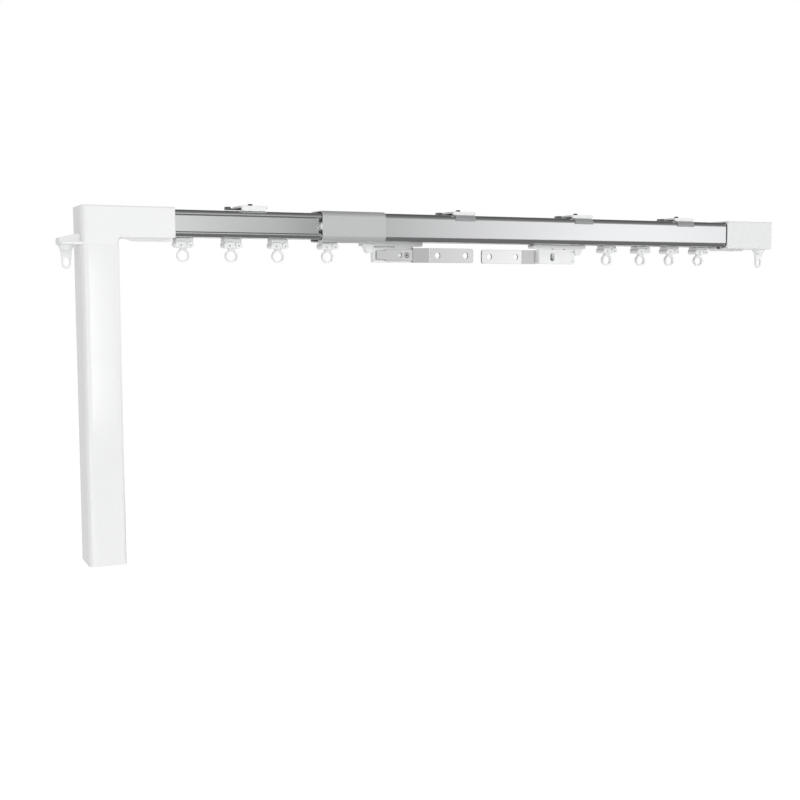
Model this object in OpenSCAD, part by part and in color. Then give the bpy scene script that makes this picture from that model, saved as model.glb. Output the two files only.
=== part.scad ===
// Electric telescopic curtain track: two nested rails, a toothed belt drive,
// two master carriers with overlap arms, eight gliders and four ceiling clips.
// +X runs along the track away from the motor, +Y to the wall, +Z up.
// Zero is the middle of the second clip's top face, on the ceiling plane.

/* [Rails] */
// Height of the inner rail
inner_h = 24.3; // [23.5:0.1:25]
// Depth of the inner rail, front to back
inner_d = 30.6; // [30:0.1:31.5]
// Wall of the inner rail
inner_wall = 1.2; // [1:0.05:1.3]
// Height of the grooves in the inner rail's sides
groove_h = 14.2; // [13:0.1:14.6]
// Depth of those grooves
groove_depth = 4; // [3:0.1:4.2]
// Radius of the lips of those grooves
lip_r = 1.3; // [0.8:0.1:1.5]
// Width of the inner rail's lower slot
inner_slot = 8; // [7.4:0.1:8.6]
// Wall of the outer rail
outer_wall = 1.1; // [0.9:0.05:1.3]
// Radius of the outer rail's long edges
outer_r = 4.8; // [3.8:0.1:5]
// Width of the lower slot of the outer rail and the sleeve
outer_slot = 12.6; // [12:0.1:13]
// Width of the windows in the rails' top walls that take the clips
window_w = 10; // [9:0.1:10.5]
// Length of those windows along the track
window_l = 17.6; // [17:0.1:19]
// Gap between the two rails on every side
slide_gap = 0.25; // [0.15:0.05:0.35]
// Left end of the inner rail, inside the drive head
inner_x0 = -336; // [-340:0.5:-325]
// Right end of the inner rail, inside the outer rail
inner_x1 = -15; // [-30:0.5:-12]
// Left end of the outer rail, inside the sleeve
outer_x0 = -145.5; // [-146:0.5:-135]
// Right end of the outer rail, inside the return housing
outer_x1 = 345.5; // [335:0.5:346]

/* [Joint sleeve] */
// Wall of the joint sleeve
sleeve_wall = 0.9; // [0.7:0.05:1.1]
// Gap between the sleeve and the outer rail
sleeve_gap = 0.1; // [0.05:0.05:0.2]
// Left end of the sleeve
sleeve_x0 = -151.5; // [-155:0.1:-150.5]
// Right end of the sleeve
sleeve_x1 = -86.9; // [-100:0.1:-80]
// Radius of the round guide buttons in the sleeve's mouth
button_r = 3.8; // [3:0.1:4.2]
// Gap between a guide button and the inner rail
button_gap = 0.3; // [0.2:0.05:0.5]

/* [Drive head and motor] */
// Left side of the motor column
column_x0 = -373.9; // [-376:0.1:-373]
// Width of the motor column along the track
column_w = 33.2; // [32.6:0.1:36]
// Depth of the motor column and of the head
column_d = 43.5; // [42:0.1:46]
// Radius of the column's upright edges
column_r = 6; // [5:0.1:8]
// Wall of the motor tube
tube_wall = 2; // [1.6:0.1:2]
// Right end of the head
head_x1 = -291.8; // [-293:0.1:-291.4]
// Height of the head's arm round the rail
head_h = 27.2; // [27:0.1:28]
// Level of the seam between head and motor tube
seam_z = -37.3; // [-39:0.1:-36.5]
// Level of the motor tube's lower end
tube_z0 = -319.3; // [-340:0.1:-300]
// Radius of the head's outer edges
head_edge_r = 1.6; // [1:0.1:2]
// Thickness of the lid strips below head and return housing
lid_t = 2.5; // [2:0.1:3]
// Radius of the hollow between the column and the head's arm
corner_r = 3; // [2:0.1:3.4]
// Left end of the head's lid strip
lid_x0 = -331; // [-334:0.5:-325]
// Gap between the gearbox and the tube
gearbox_gap = 0.5; // [0.3:0.1:1.5]
// Height of the gearbox
gearbox_h = 46; // [35:0.5:60]
// Step in from the gearbox to the motor can
motor_step = 1.2; // [0.6:0.1:2]
// Height of the motor can
motor_h = 72; // [60:0.5:90]
// Radius of the output shaft
shaft_r = 3; // [2.5:0.1:3.2]
// Travel and stand-out of the setting button
key_out = 1.2; // [1.1:0.1:1.6]
// Radius of the setting button
key_r = 2.6; // [2:0.1:3]
// Middle of the setting button from the tube's inner rear wall
key_inset = 9.75; // [8:0.05:11]
// Middle of the power inlet from the tube's inner front wall
inlet_inset = 9.25; // [8.5:0.05:10]
// Radius of the power inlet's barrel
inlet_r = 4.5; // [4.2:0.1:4.8]
// Gap between the control board's edges and the tube
board_gap = 2.8; // [2.2:0.1:3.6]
// Thickness of the control board
board_t = 1.6; // [1.2:0.1:1.8]

/* [Belt drive] */
// Belt tooth pitch
belt_pitch = 5; // [5:0.01:5.05]
// Teeth on each pulley
pulley_teeth = 10; // [10:1:10]
// Belt width, upright
belt_w = 7; // [6:0.1:7]
// Depth of a belt tooth
tooth_h = 1; // [0.7:0.05:1.1]
// Belt web from tooth root to pitch line
belt_in = 0.3; // [0.25:0.05:0.4]
// Belt web from pitch line to its back
belt_out = 0.6; // [0.4:0.05:0.7]
// Gap between belt teeth and pulley teeth
mesh_gap = 0.15; // [0.1:0.01:0.2]
// Centre of the return pulley
return_x = 366; // [364:0.1:367]
// Gap between the belt and the jaws of a clamp
jaw_gap = 0.1; // [0.05:0.01:0.15]
// Wall of the jaw inside the belt loop
jaw_t = 1.6; // [1.2:0.1:1.8]
// Length of a belt clamp along the belt
clamp_l = 12; // [10:0.1:13]
// Gap between a belt clamp and the side of the inner rail's room
clamp_gap = 0.45; // [0.35:0.01:0.6]
// Radial running clearance of shafts and pins in their bores
run_gap = 0.05; // [0.03:0.01:0.08]

/* [Return housing] */
// Left end of the return housing
cap_x0 = 326.6; // [326:0.1:330]
// Right end of the return housing
cap_x1 = 389.5; // [388:0.1:395]
// Depth of the return housing
cap_d = 36.6; // [36.4:0.1:39]
// Height of the return housing
cap_h = 30.2; // [29.2:0.1:31]
// Radius of the return housing's edges
cap_edge_r = 1.4; // [1:0.1:1.8]
// Gap between a rail and the housing round its end
socket_gap = 0.1; // [0.05:0.05:0.2]
// Left end of the glider stop below the housing
stop_x0 = 321; // [320.8:0.1:323]
// Right end of the glider stop
stop_x1 = 356.5; // [350:0.5:362]
// Radius of the return axle
axle_r = 2; // [1.6:0.1:2.4]

/* [End hooks] */
// Middle of the left hook along the track
hook_x0 = -384.6; // [-386:0.1:-383.5]
// Middle of the right hook along the track
hook_x1 = 380; // [378:0.1:380.5]
// Middle of both hooks, front to back
hook_y = -7.5; // [-8.5:0.1:-6]
// Radius of a hook's collar at its top
collar_r = 7.2; // [6.2:0.1:7.3]
// Height of a hook's collar
collar_h = 4.6; // [4:0.1:5.5]
// Drop of a hook below its seat
hook_drop = 20.8; // [19:0.1:23]
// Thickness of a hook's tag
hook_t = 2.6; // [2:0.1:3]
// Step of the hook arm's flange behind the column's front
flange_step = 0.75; // [0.5:0.05:3]
// Step of the hook arm's rib behind the flange's front edge
rib_step = 4.2; // [3:0.1:6]
// Width of the eye
eye_w = 5.2; // [4.5:0.1:5.4]
// Height of the eye
eye_h = 7.8; // [6.5:0.1:8.2]

/* [Ceiling clips] */
// Middle of the first clip, on the inner rail
clip_1_x = -216.5; // [-222:0.5:-210]
// Middle of the third clip
clip_3_x = 139; // [132:0.5:150]
// Middle of the fourth clip
clip_4_x = 270; // [264:0.5:284]
// Length of a clip plate along the track
clip_l = 26; // [25.5:0.1:30]
// Depth of a clip plate
clip_d = 30; // [29:0.1:32]
// Thickness of a clip plate
plate_t = 2.2; // [1.8:0.1:2.6]
// Radius of a clip's screw holes
clip_hole_r = 2.2; // [1.8:0.05:2.25]
// Half spacing of a clip's screw holes along the track
clip_hole_x = 9; // [8.8:0.1:9.4]
// Half spacing of a clip's screw holes front to back
clip_hole_y = 7.2; // [7:0.1:7.4]
// Radius of a clip plate's corners
plate_r = 2.2; // [1.5:0.1:3]
// Thickness of a clip lever
lever_t = 1; // [0.8:0.05:1.2]
// Gap above and below a clip lever
lever_gap = 0.2; // [0.15:0.05:0.3]
// Reach of a lever from its pivot
lever_reach = 24; // [23:0.5:26]
// Width of a lever
lever_w = 9; // [7:0.1:9.2]
// Radius of the pivot screws
pivot_r = 1.5; // [1.2:0.05:1.6]
// Stand-out of a pivot screw above its plate
pivot_out = 2.4; // [1.5:0.1:2.6]

/* [Gliders] */
// Length of a glider body along the track
glider_l = 16.8; // [16:0.1:16.9]
// Depth of a glider body
glider_d = 14.4; // [13:0.1:15]
// Height of a glider body
glider_h = 6.5; // [5.8:0.1:7]
// Step of a glider's top behind the faces of its lobes
top_step = 0.4; // [0.3:0.05:0.8]
// Place of the groove between a glider's two lobes, from its middle
lobe_split = 1.6; // [0.8:0.1:2.4]
// Width of that groove
lobe_groove = 0.7; // [0.4:0.1:1]
// Radius of the lobes' corners
lobe_r = 2.2; // [1.4:0.1:2.4]
// Width of the neck that carries the ring
ring_neck = 5.6; // [5:0.1:6.4]
// Outer radius of a glider ring
ring_r = 5.9; // [5.6:0.1:6.2]
// Radius of a glider ring's eye
ring_eye_r = 4.4; // [4:0.1:4.5]
// Thickness of a glider ring
ring_t = 3.6; // [3:0.1:4]
// Width of the slit that lets a curtain hook in
slit_w = 0.7; // [0.5:0.05:0.9]
// Radius of all running wheels
wheel_r = 4; // [3.7:0.05:4.1]
// Width of a wheel
wheel_w = 2.6; // [2.2:0.1:2.8]
// Inner side of a wheel from the middle of the rail
wheel_y = 7; // [6.8:0.1:7.1]
// Radius of a wheel axle
spindle_r = 1.2; // [1:0.05:1.3]
// Gap between wheel and track
track_gap = 0.15; // [0.1:0.01:0.2]
// Thickness of the necks that pass the inner slot
neck_t = 6; // [5.4:0.1:6.2]
// Depth of the flanges that pass the outer slot
flange_d = 10.4; // [9.5:0.1:10.6]
// Gap below a rail and below the sleeve
hang_gap = 0.35; // [0.3:0.05:0.5]
// Middles of the four left gliders
left_glider_1 = -280.3; // [-281.5:0.1:-279.5]
left_glider_2 = -235.1; // [-238:0.1:-233]
left_glider_3 = -190.1; // [-193:0.1:-188]
left_glider_4 = -140.3; // [-143:0.1:-139]
// Middles of the four right gliders
right_glider_1 = 179; // [178:0.1:184]
right_glider_2 = 222.8; // [220:0.1:225]
right_glider_3 = 261.3; // [258:0.1:264]
right_glider_4 = 300.9; // [297:0.1:303]

/* [Master carriers] */
// Middle of the left carrier
left_carrier_x = -73.2; // [-75:0.1:-72]
// Middle of the right carrier
right_carrier_x = 116.1; // [114:0.1:117.4]
// Length of the carrier case along the track
case_l = 44; // [43:0.1:45]
// Depth of the carrier case
case_d = 8.8; // [8.4:0.1:9.6]
// Seat of the arm in front of the rail's middle
seat_y = 7; // [6.6:0.1:7.4]
// Level of the carrier case's underside
case_z0 = -50.4; // [-51.5:0.1:-50.2]
// Length from the carrier's middle to the beam's plain end
beam_l = 31.4; // [30.4:0.1:32]
// Length from the carrier's middle to the lobe's end
lobe_l = 32.6; // [31.4:0.1:33.6]
// Distance of the wheels from the carrier's middle
carrier_axle_x = 25; // [24:0.1:25.6]
// Thickness of the overlap arms
arm_t = 2; // [1.5:0.05:2.2]
// Height of the wide end of an arm
arm_h = 14.2; // [13.5:0.1:14.4]
// Level of the middle of an arm
arm_z = -43.25; // [-43.4:0.05:-43.1]
// Offset of the arm's bend, front to back
arm_jog = 3.4; // [2:0.1:4]
// Reach of the left arm from its carrier's middle
left_reach = 84.3; // [83:0.1:86]
// Reach of the right arm from its carrier's middle
right_reach = 82.9; // [81:0.1:84.4]
// Start of the arm's bend from the carrier's middle
bend_x = 18.6; // [17.4:0.1:19.4]
// Length of the arm's bend
bend_l = 16.8; // [15:0.1:18]
// Places of the two pegs that carry an arm
peg_1_x = 4.9; // [4:0.1:5.4]
peg_2_x = 12.5; // [11.4:0.1:13.2]
// Radius of those pegs
peg_r = 2.45; // [2:0.05:2.6]
// Spacing of the holes in an arm
arm_hole_gap = 31; // [29:0.1:31.4]
// Radius of the holes in an arm
arm_hole_r = 3; // [2.5:0.05:3.2]

/* [Hidden] */
$fn = 48;
outer_h = inner_h + 2 * (slide_gap + outer_wall);
outer_d = inner_d + 2 * (slide_gap + outer_wall);
sleeve_h = outer_h + 2 * (sleeve_gap + sleeve_wall);
sleeve_d = outer_d + 2 * (sleeve_gap + sleeve_wall);
inner_r = outer_r - outer_wall - slide_gap;
sleeve_r = outer_r + sleeve_gap + sleeve_wall;
axis_z = -(plate_t + lever_t + 2 * lever_gap + outer_h / 2);
inner_lip = axis_z - inner_h / 2 + inner_wall;
outer_lip = axis_z - outer_h / 2 + outer_wall;
inner_low = axis_z - inner_h / 2;
outer_low = axis_z - outer_h / 2;
inner_top = axis_z + inner_h / 2;
outer_top = axis_z + outer_h / 2;
body_top = axis_z - sleeve_h / 2 - hang_gap;
glider_top_d = glider_d - 2 * top_step;
column_x = column_x0 + column_w / 2;
column_x1 = column_x0 + column_w;
flare_x = column_x1 - 0.36 * column_r;
pitch_r = pulley_teeth * belt_pitch / (2 * PI);
belt_z0 = axis_z - 0.4;
belt_z1 = belt_z0 + belt_w;
belt_root_r = pitch_r - belt_in;
belt_tip_r = belt_root_r - tooth_h;
belt_back_r = pitch_r + belt_out;
belt_run = return_x - column_x;
chamber_r = belt_back_r + 1.9;
spigot_z = seam_z - 5;
cap_low = axis_z - cap_h / 2;
head_low = axis_z - head_h / 2;
post_z = axis_z - 3;
gearbox_r = column_w / 2 - tube_wall - gearbox_gap;
motor_r = gearbox_r - motor_step;
key_y = column_d / 2 - tube_wall - key_inset;
inlet_y = -(column_d / 2 - tube_wall - inlet_inset);
board_w = column_w - 2 * (tube_wall + board_gap);

// Shapes used by several pieces

module round_rect(w, h, r) {
  square([w - 2 * r, h], center = true);
  square([w, h - 2 * r], center = true);
  for (sx = [-1, 1])
    for (sy = [-1, 1])
      translate([sx * (w / 2 - r), sy * (h / 2 - r)])
        circle(r);
}

module along_x(x0, x1) {
  translate([x0, 0, 0])
    rotate([90, 0, 90])
      linear_extrude(x1 - x0)
        children();
}

module along_y(y0, y1) {
  translate([0, y1, 0])
    rotate([90, 0, 0])
      linear_extrude(y1 - y0)
        children();
}

module along_z(z0, z1) {
  translate([0, 0, z0])
    linear_extrude(z1 - z0)
      children();
}

module box(x0, x1, y0, y1, z0, z1) {
  translate([x0, y0, z0])
    cube([x1 - x0, y1 - y0, z1 - z0]);
}

// A block whose upright edges have radius rz and whose other edges have radius re
module soft_block(x0, x1, y0, y1, z0, z1, rz, re) {
  mx = (x0 + x1) / 2;
  my = (y0 + y1) / 2;
  mz = (z0 + z1) / 2;
  intersection() {
    along_z(z0, z1)
      translate([mx, my])
        round_rect(x1 - x0, y1 - y0, rz);
    along_x(x0 - 1, x1 + 1)
      translate([my, mz])
        round_rect(y1 - y0, z1 - z0, re);
    along_y(y0 - 1, y1 + 1)
      translate([mx, mz])
        round_rect(x1 - x0, z1 - z0, re);
  }
}

module pin_z(x, y, z0, z1, r) {
  translate([x, y, z0])
    cylinder(r = r, h = z1 - z0);
}

module pin_y(x, z, y0, y1, r) {
  translate([x, y1, z])
    rotate([90, 0, 0])
      cylinder(r = r, h = y1 - y0);
}

// Rails and sleeve

module rail_walls(d, h, r, wall, slot) {
  difference() {
    round_rect(d, h, r);
    round_rect(d - 2 * wall, h - 2 * wall, r - wall);
    translate([-slot / 2, -h])
      square([slot, h]);
  }
}

// Window that a clip's cross foot enters before it is turned
module clip_window(x, rail_top, wall) {
  along_z(rail_top - wall - 0.5, rail_top + 1)
    translate([x, 0])
      round_rect(window_l, window_w, window_w / 2 - 0.1);
}

// What is taken off one lip of a groove to round it
module lip_round(s, t) {
  edge = inner_d / 2;
  difference() {
    translate([s * edge, t * groove_h / 2])
      square([2 * lip_r, 2 * lip_r], center = true);
    translate([s * (edge - lip_r), t * (groove_h / 2 + lip_r)])
      circle(lip_r);
    translate([s * edge / 2 - s * lip_r, 0])
      square([edge, inner_h], center = true);
    translate([0, t * (groove_h / 2 + lip_r + inner_h / 2)])
      square([2 * inner_d, inner_h], center = true);
  }
}

module inner_outline() {
  room = inner_h / 2 - inner_wall - groove_h / 2 - inner_wall;
  mid_d = inner_d - 2 * groove_depth - 2 * inner_wall;
  room_z = groove_h / 2 + inner_wall + room / 2;
  difference() {
    round_rect(inner_d, inner_h, inner_r);
    for (s = [-1, 1]) {
      translate([s * (inner_d / 2 - groove_depth / 2 + 1), 0])
        square([groove_depth + 2, groove_h], center = true);
      for (t = [-1, 1])
        lip_round(s, t);
      translate([0, s * room_z])
        round_rect(inner_d - 2 * inner_wall, room, room * 0.45);
    }
    square([mid_d, inner_h - 2 * inner_wall], center = true);
    translate([-inner_slot / 2, -inner_h])
      square([inner_slot, inner_h]);
  }
}

module inner_rail() {
  color("silver")
    difference() {
      along_x(inner_x0, inner_x1)
        translate([0, axis_z])
          inner_outline();
      clip_window(clip_1_x, inner_top, inner_wall);
    }
}

module outer_rail() {
  color("gainsboro")
    difference() {
      along_x(outer_x0, outer_x1)
        translate([0, axis_z])
          rail_walls(outer_d, outer_h, outer_r, outer_wall, outer_slot);
      for (x = [0, clip_3_x, clip_4_x])
        clip_window(x, outer_top, outer_wall);
    }
}

module joint_sleeve() {
  color("darkgray")
    along_x(sleeve_x0, sleeve_x1)
      translate([0, axis_z])
        difference() {
          round_rect(sleeve_d, sleeve_h, sleeve_r);
          round_rect(sleeve_d - 2 * sleeve_wall, sleeve_h - 2 * sleeve_wall, sleeve_r - sleeve_wall);
          translate([-outer_slot / 2, -sleeve_h])
            square([outer_slot, sleeve_h]);
        }
}

module guide_buttons() {
  x = sleeve_x0 + 2.2;
  web = inner_d / 2 - groove_depth + button_gap;
  wall = sleeve_d / 2 - sleeve_wall;
  color("white")
    for (s = [-1, 1])
      translate([x, s * wall, axis_z])
        rotate([s * 90, 0, 0]) {
          cylinder(r = button_r, h = wall - web - 1);
          translate([0, 0, wall - web - 1])
            cylinder(r1 = button_r, r2 = button_r - 1, h = 1);
        }
}

// Toothed belt and its pulleys

// The belt's inner outline: one point pair per tooth flank all round the loop
function loop_point(s, off) =
  let (half = PI * pitch_r, total = 2 * belt_run + 2 * half, t = s - total * floor(s / total))
  t < belt_run ? [column_x + t, off] :
  t < belt_run + half ?
    let (a = 90 - (t - belt_run) / pitch_r * 180 / PI) [return_x + off * cos(a), off * sin(a)] :
  t < 2 * belt_run + half ? [return_x - (t - belt_run - half), -off] :
    let (a = -90 - (t - 2 * belt_run - half) / pitch_r * 180 / PI)
      [column_x + off * cos(a), off * sin(a)];

function belt_length() = 2 * belt_run + 2 * PI * pitch_r;

module belt_loop(r) {
  translate([column_x, -r])
    square([belt_run, 2 * r]);
  translate([column_x, 0])
    circle(r);
  translate([return_x, 0])
    circle(r);
}

module drive_belt() {
  count = round(belt_length() / belt_pitch);
  step = belt_length() / count;
  points = [for (i = [0 : count - 1], k = [0 : 3])
    loop_point((i + 0.25 + [-0.26, -0.16, 0.16, 0.26][k]) * step,
      k == 0 || k == 3 ? belt_root_r : belt_tip_r)];
  color("dimgray")
    along_z(belt_z0, belt_z1)
      difference() {
        belt_loop(belt_back_r);
        polygon(points);
      }
}

// Pulley teeth fill the gaps between the belt's teeth
module pulley_body(x, phase) {
  turn = 360 / pulley_teeth;
  tip = belt_root_r - mesh_gap;
  root = belt_tip_r - mesh_gap;
  translate([x, 0, 0]) {
    along_z(belt_z0 - 0.1, belt_z1 + 0.1)
      difference() {
        circle(tip);
        for (i = [0 : pulley_teeth - 1])
          rotate((i + phase) * turn)
            polygon([[root, -turn * 0.0175 * root * 0.28], [tip + 1, -turn * 0.0175 * tip * 0.4],
              [tip + 1, turn * 0.0175 * tip * 0.4], [root, turn * 0.0175 * root * 0.28]]);
      }
    pin_z(0, 0, belt_z0 - 0.9, belt_z0 - 0.1, belt_back_r + 0.8);
    pin_z(0, 0, belt_z1 + 0.1, belt_z1 + 0.9, belt_back_r + 0.8);
  }
}

module drive_pulley() {
  count = round(belt_length() / belt_pitch);
  step = belt_length() / count;
  // angle of the tooth that lies nearest the pulley's left side
  s = belt_length() - PI * pitch_r / 2;
  i = round(s / step - 0.25);
  off = ((i + 0.25) * step - s) / pitch_r * 180 / PI;
  phase = (180 - off) * pulley_teeth / 360;
  color("whitesmoke") {
    difference() {
      union() {
        pulley_body(column_x, phase);
        pin_z(column_x, 0, belt_z0 - 2, belt_z0 - 0.8, shaft_r + 1.6);
      }
      pin_z(column_x, 0, belt_z1 - 3, belt_z1 + 2, shaft_r - 0.8);
    }
    pin_z(column_x, 0, spigot_z - 12, belt_z0 - 1, shaft_r);
  }
}

module return_pulley() {
  count = round(belt_length() / belt_pitch);
  step = belt_length() / count;
  s = belt_run + PI * pitch_r / 2;
  i = round(s / step - 0.25);
  off = ((i + 0.25) * step - s) / pitch_r * 180 / PI;
  phase = -off * pulley_teeth / 360;
  color("whitesmoke")
    difference() {
      pulley_body(return_x, phase);
      pin_z(return_x, 0, belt_z0 - 3, belt_z1 + 3, axle_r + run_gap);
    }
}

module return_axle() {
  color("lightsteelblue") {
    pin_z(return_x, 0, axis_z - cap_h / 2 + 4, axis_z + cap_h / 2 - 2, axle_r);
    pin_z(return_x, 0, belt_z0 - 1.5, belt_z0 - 1, axle_r + 1);
  }
}

module output_bearing() {
  color("lightsteelblue")
    difference() {
      pin_z(column_x, 0, belt_z0 - 6, belt_z0 - 2, shaft_r + 3.5);
      pin_z(column_x, 0, belt_z0 - 7, belt_z0 - 1, shaft_r + run_gap);
      for (z = [belt_z0 - 6.3, belt_z0 - 2.3])
        difference() {
          pin_z(column_x, 0, z, z + 0.6, shaft_r + 2.4);
          pin_z(column_x, 0, z - 1, z + 2, shaft_r + 1.1);
        }
    }
}

// Drive head

module head_outline() {
  round_r = column_r;
  translate([column_x, 0])
    round_rect(column_w, column_d, round_r);
  difference() {
    translate([(column_x + head_x1) / 2, 0])
      round_rect(head_x1 - column_x, column_d, head_edge_r);
    translate([column_x - 20, -column_d])
      square([20, 2 * column_d]);
  }
}

module drive_head() {
  top = axis_z + head_h / 2;
  web = axis_z - 1.6;
  color("white")
    difference() {
      union() {
        intersection() {
          along_z(head_low, top)
            head_outline();
          along_x(column_x0 - 1, head_x1 + 1)
            translate([0, axis_z])
              round_rect(column_d, head_h, head_edge_r);
          along_y(-column_d, column_d)
            translate([(column_x0 + head_x1) / 2, axis_z])
              round_rect(head_x1 - column_x0, head_h, head_edge_r);
        }
        along_z(seam_z, axis_z)
          translate([column_x, 0])
            round_rect(column_w, column_d, column_r);
        // hollow of the corner between column and arm
        difference() {
          box(column_x1 - column_r, column_x1 + corner_r, -column_d / 2 + column_r, column_d / 2 - column_r,
            head_low - corner_r, head_low + 1);
          pin_y(column_x1 + corner_r, head_low - corner_r, -column_d, column_d, corner_r);
        }
        // flares that carry the flat front and back of the arm into the column's round edges
        along_y(-column_d / 2, column_d / 2)
          difference() {
            polygon([[column_x1 - column_r, head_low + head_edge_r],
              [flare_x + corner_r, head_low + head_edge_r], [flare_x + corner_r, head_low - corner_r],
              [flare_x, head_low - corner_r], [column_x1 - column_r, seam_z + 0.4]]);
            translate([flare_x + corner_r, head_low - corner_r])
              circle(corner_r);
          }
        along_z(spigot_z, seam_z + 1)
          translate([column_x, 0])
            difference() {
              round_rect(column_w - 2 * tube_wall - 0.3, column_d - 2 * tube_wall - 0.3,
                column_r - tube_wall);
              circle(shaft_r + 4);
            }
      }
      // socket of the inner rail
      along_x(inner_x0 - 0.5, head_x1 + 2)
        translate([0, axis_z])
          round_rect(inner_d + 2 * socket_gap, inner_h + 2 * socket_gap, inner_r + socket_gap);
      // belt chamber
      along_z(web, belt_z1 + 1.3) {
        translate([column_x, 0])
          circle(chamber_r);
        translate([column_x, -chamber_r])
          square([inner_x0 - column_x, 2 * chamber_r]);
      }
      pin_z(column_x, 0, belt_z0 - 6.1, web + 1, shaft_r + 3.5 + run_gap);
      pin_z(column_x, 0, spigot_z - 1, web, shaft_r + 0.4);
      // opening below the rail, closed by the lid strip
      box(lid_x0 + 6, head_x1 - 6, -6, 6, head_low - 1, axis_z);
    }
}

module head_lid() {
  color("white")
    difference() {
      union() {
        along_y(-10, 10)
          polygon([[lid_x0, head_low], [lid_x0 + 7, head_low - lid_t], [head_x1, head_low - lid_t],
            [head_x1, head_low]]);
        box(lid_x0 + 6.2, head_x1 - 6.2, -5.8, 5.8, head_low - 0.5, head_low + 1);
      }
      for (x = [lid_x0 + 12, head_x1 - 12])
        pin_z(x, 0, head_low - lid_t - 1, head_low - 1, 1.6);
    }
}

// Motor column

module motor_tube() {
  color("white")
    along_z(tube_z0, seam_z)
      translate([column_x, 0])
        difference() {
          round_rect(column_w, column_d, column_r);
          round_rect(column_w - 2 * tube_wall, column_d - 2 * tube_wall, column_r - tube_wall);
        }
}

module gearbox() {
  z0 = spigot_z - gearbox_h;
  color("silver")
    difference() {
      union() {
        pin_z(column_x, 0, z0, spigot_z, gearbox_r);
        pin_z(column_x, 0, spigot_z - 1, spigot_z + 2.5, shaft_r + 3.5);
      }
      pin_z(column_x, 0, spigot_z - 14, spigot_z + 3, shaft_r + run_gap);
      // joints of the gear stages
      for (k = [1 : 3])
        difference() {
          pin_z(column_x, 0, z0 + k * gearbox_h / 4, z0 + k * gearbox_h / 4 + 0.8, gearbox_r + 1);
          pin_z(column_x, 0, z0, spigot_z, gearbox_r - 0.6);
        }
      for (a = [45 : 90 : 315])
        pin_z(column_x + (gearbox_r - 3.8) * cos(a), (gearbox_r - 3.8) * sin(a), spigot_z - 6,
          spigot_z + 1, 1.3);
    }
}

module gear_motor() {
  z1 = spigot_z - gearbox_h;
  z0 = z1 - motor_h;
  color("dimgray") {
    difference() {
      pin_z(column_x, 0, z0, z1, motor_r);
      for (s = [-1, 1])
        box(column_x - 3, column_x + 3, s * motor_r - 1, s * motor_r + 1, z0 - 1, z0 + 8);
    }
    pin_z(column_x, 0, z0 - 4, z0, 5);
    for (s = [-1, 1])
      box(column_x - 0.4, column_x + 0.4, s * 8 - 1.5, s * 8 + 1.5, z0 - 5, z0 + 0.5);
  }
}

module motor_end_cap() {
  w = column_w - 2 * tube_wall - 0.2;
  d = column_d - 2 * tube_wall - 0.2;
  r = column_r - tube_wall - 0.1;
  z0 = tube_z0 + 0.4;
  color("white")
    difference() {
      union() {
        along_z(z0, z0 + 2)
          translate([column_x, 0])
            round_rect(w, d, r);
        along_z(z0, z0 + 12)
          translate([column_x, 0])
            difference() {
              round_rect(w, d, r);
              round_rect(w - 3, d - 3, r - 1.5);
            }
        // posts that hold the board
        for (s = [-1, 1])
          translate([column_x + s * (board_w / 2 - 1.5), 0, 0])
            box(-1.6, 1.6, -2, board_t + 2, z0, z0 + 10);
      }
      box(column_x - board_w / 2 - 0.1, column_x + board_w / 2 + 0.1, 0, board_t + 0.1, z0 + 2, z0 + 20);
      pin_z(column_x, key_y, z0 - 1, z0 + 5, key_r + 0.2);
      pin_z(column_x, inlet_y, z0 - 1, z0 + 5, inlet_r + 0.1);
    }
}

module power_inlet() {
  z0 = tube_z0 + 0.4;
  color("black")
    difference() {
      union() {
        pin_z(column_x, inlet_y, z0, z0 + 11, inlet_r);
        pin_z(column_x, inlet_y, z0 + 2, z0 + 3.2, inlet_r + 1.7);
      }
      difference() {
        pin_z(column_x, inlet_y, z0 - 1, z0 + 9.5, inlet_r - 1.7);
        pin_z(column_x, inlet_y, z0 + 0.6, z0 + 12, 0.9);
      }
    }
}

module setting_button() {
  z0 = tube_z0 + 0.4;
  color("lightgray") {
    pin_z(column_x, key_y, z0 - key_out, z0 + 3, key_r);
    pin_z(column_x, key_y, z0 + 2.05, z0 + 3.4, key_r + 1.2);
  }
}

module control_board() {
  z0 = tube_z0 + 2.4;
  z1 = spigot_z - gearbox_h - motor_h - 8;
  w = board_w;
  h = z1 - z0;
  color("darkgreen") {
    box(column_x - w / 2, column_x + w / 2, 0.05, board_t + 0.05, z0, z1);
    // relay, chip, two capacitors and the terminal block
    box(column_x - 0.36 * w, column_x + 0.16 * w, -0.24 * w, 0.05, z1 - 0.16 * h, z1 - 0.09 * h);
    box(column_x - 0.24 * w, column_x + 0.24 * w, -0.08 * w, 0.05, z1 - 0.4 * h, z1 - 0.32 * h);
    for (s = [-1, 1])
      pin_y(column_x + s * 0.2 * w, z1 - 0.24 * h, -0.44 * w, 0.05, 0.16 * w);
    box(column_x - 0.4 * w, column_x + 0.4 * w, -0.16 * w, 0.05, z0 + 0.15 * h, z0 + 0.23 * h);
  }
}

// End hooks

module end_hook(x, seat) {
  tag_top = seat - collar_h + 1;
  low = seat - hook_drop;
  eye_z = low + 2 + eye_h / 2;
  translate([x, hook_y, 0]) {
    pin_z(0, 0, seat - 0.5, seat + 5.5, 3);
    translate([0, 0, seat - collar_h])
      cylinder(r1 = collar_r * 0.68, r2 = collar_r, h = collar_h - 0.05);
    difference() {
      along_y(-hook_t / 2, hook_t / 2) {
        polygon([[-4.9, tag_top], [4.9, tag_top], [3.6, low + 3.4], [-3.6, low + 3.4]]);
        translate([0, low + 3.6])
          circle(3.6);
      }
      along_y(-hook_t, hook_t)
        translate([0, eye_z])
          round_rect(eye_w, eye_h, eye_w / 2 - 0.02);
    }
  }
}

module left_hook() {
  color("white")
    end_hook(hook_x0, seam_z);
}

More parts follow.
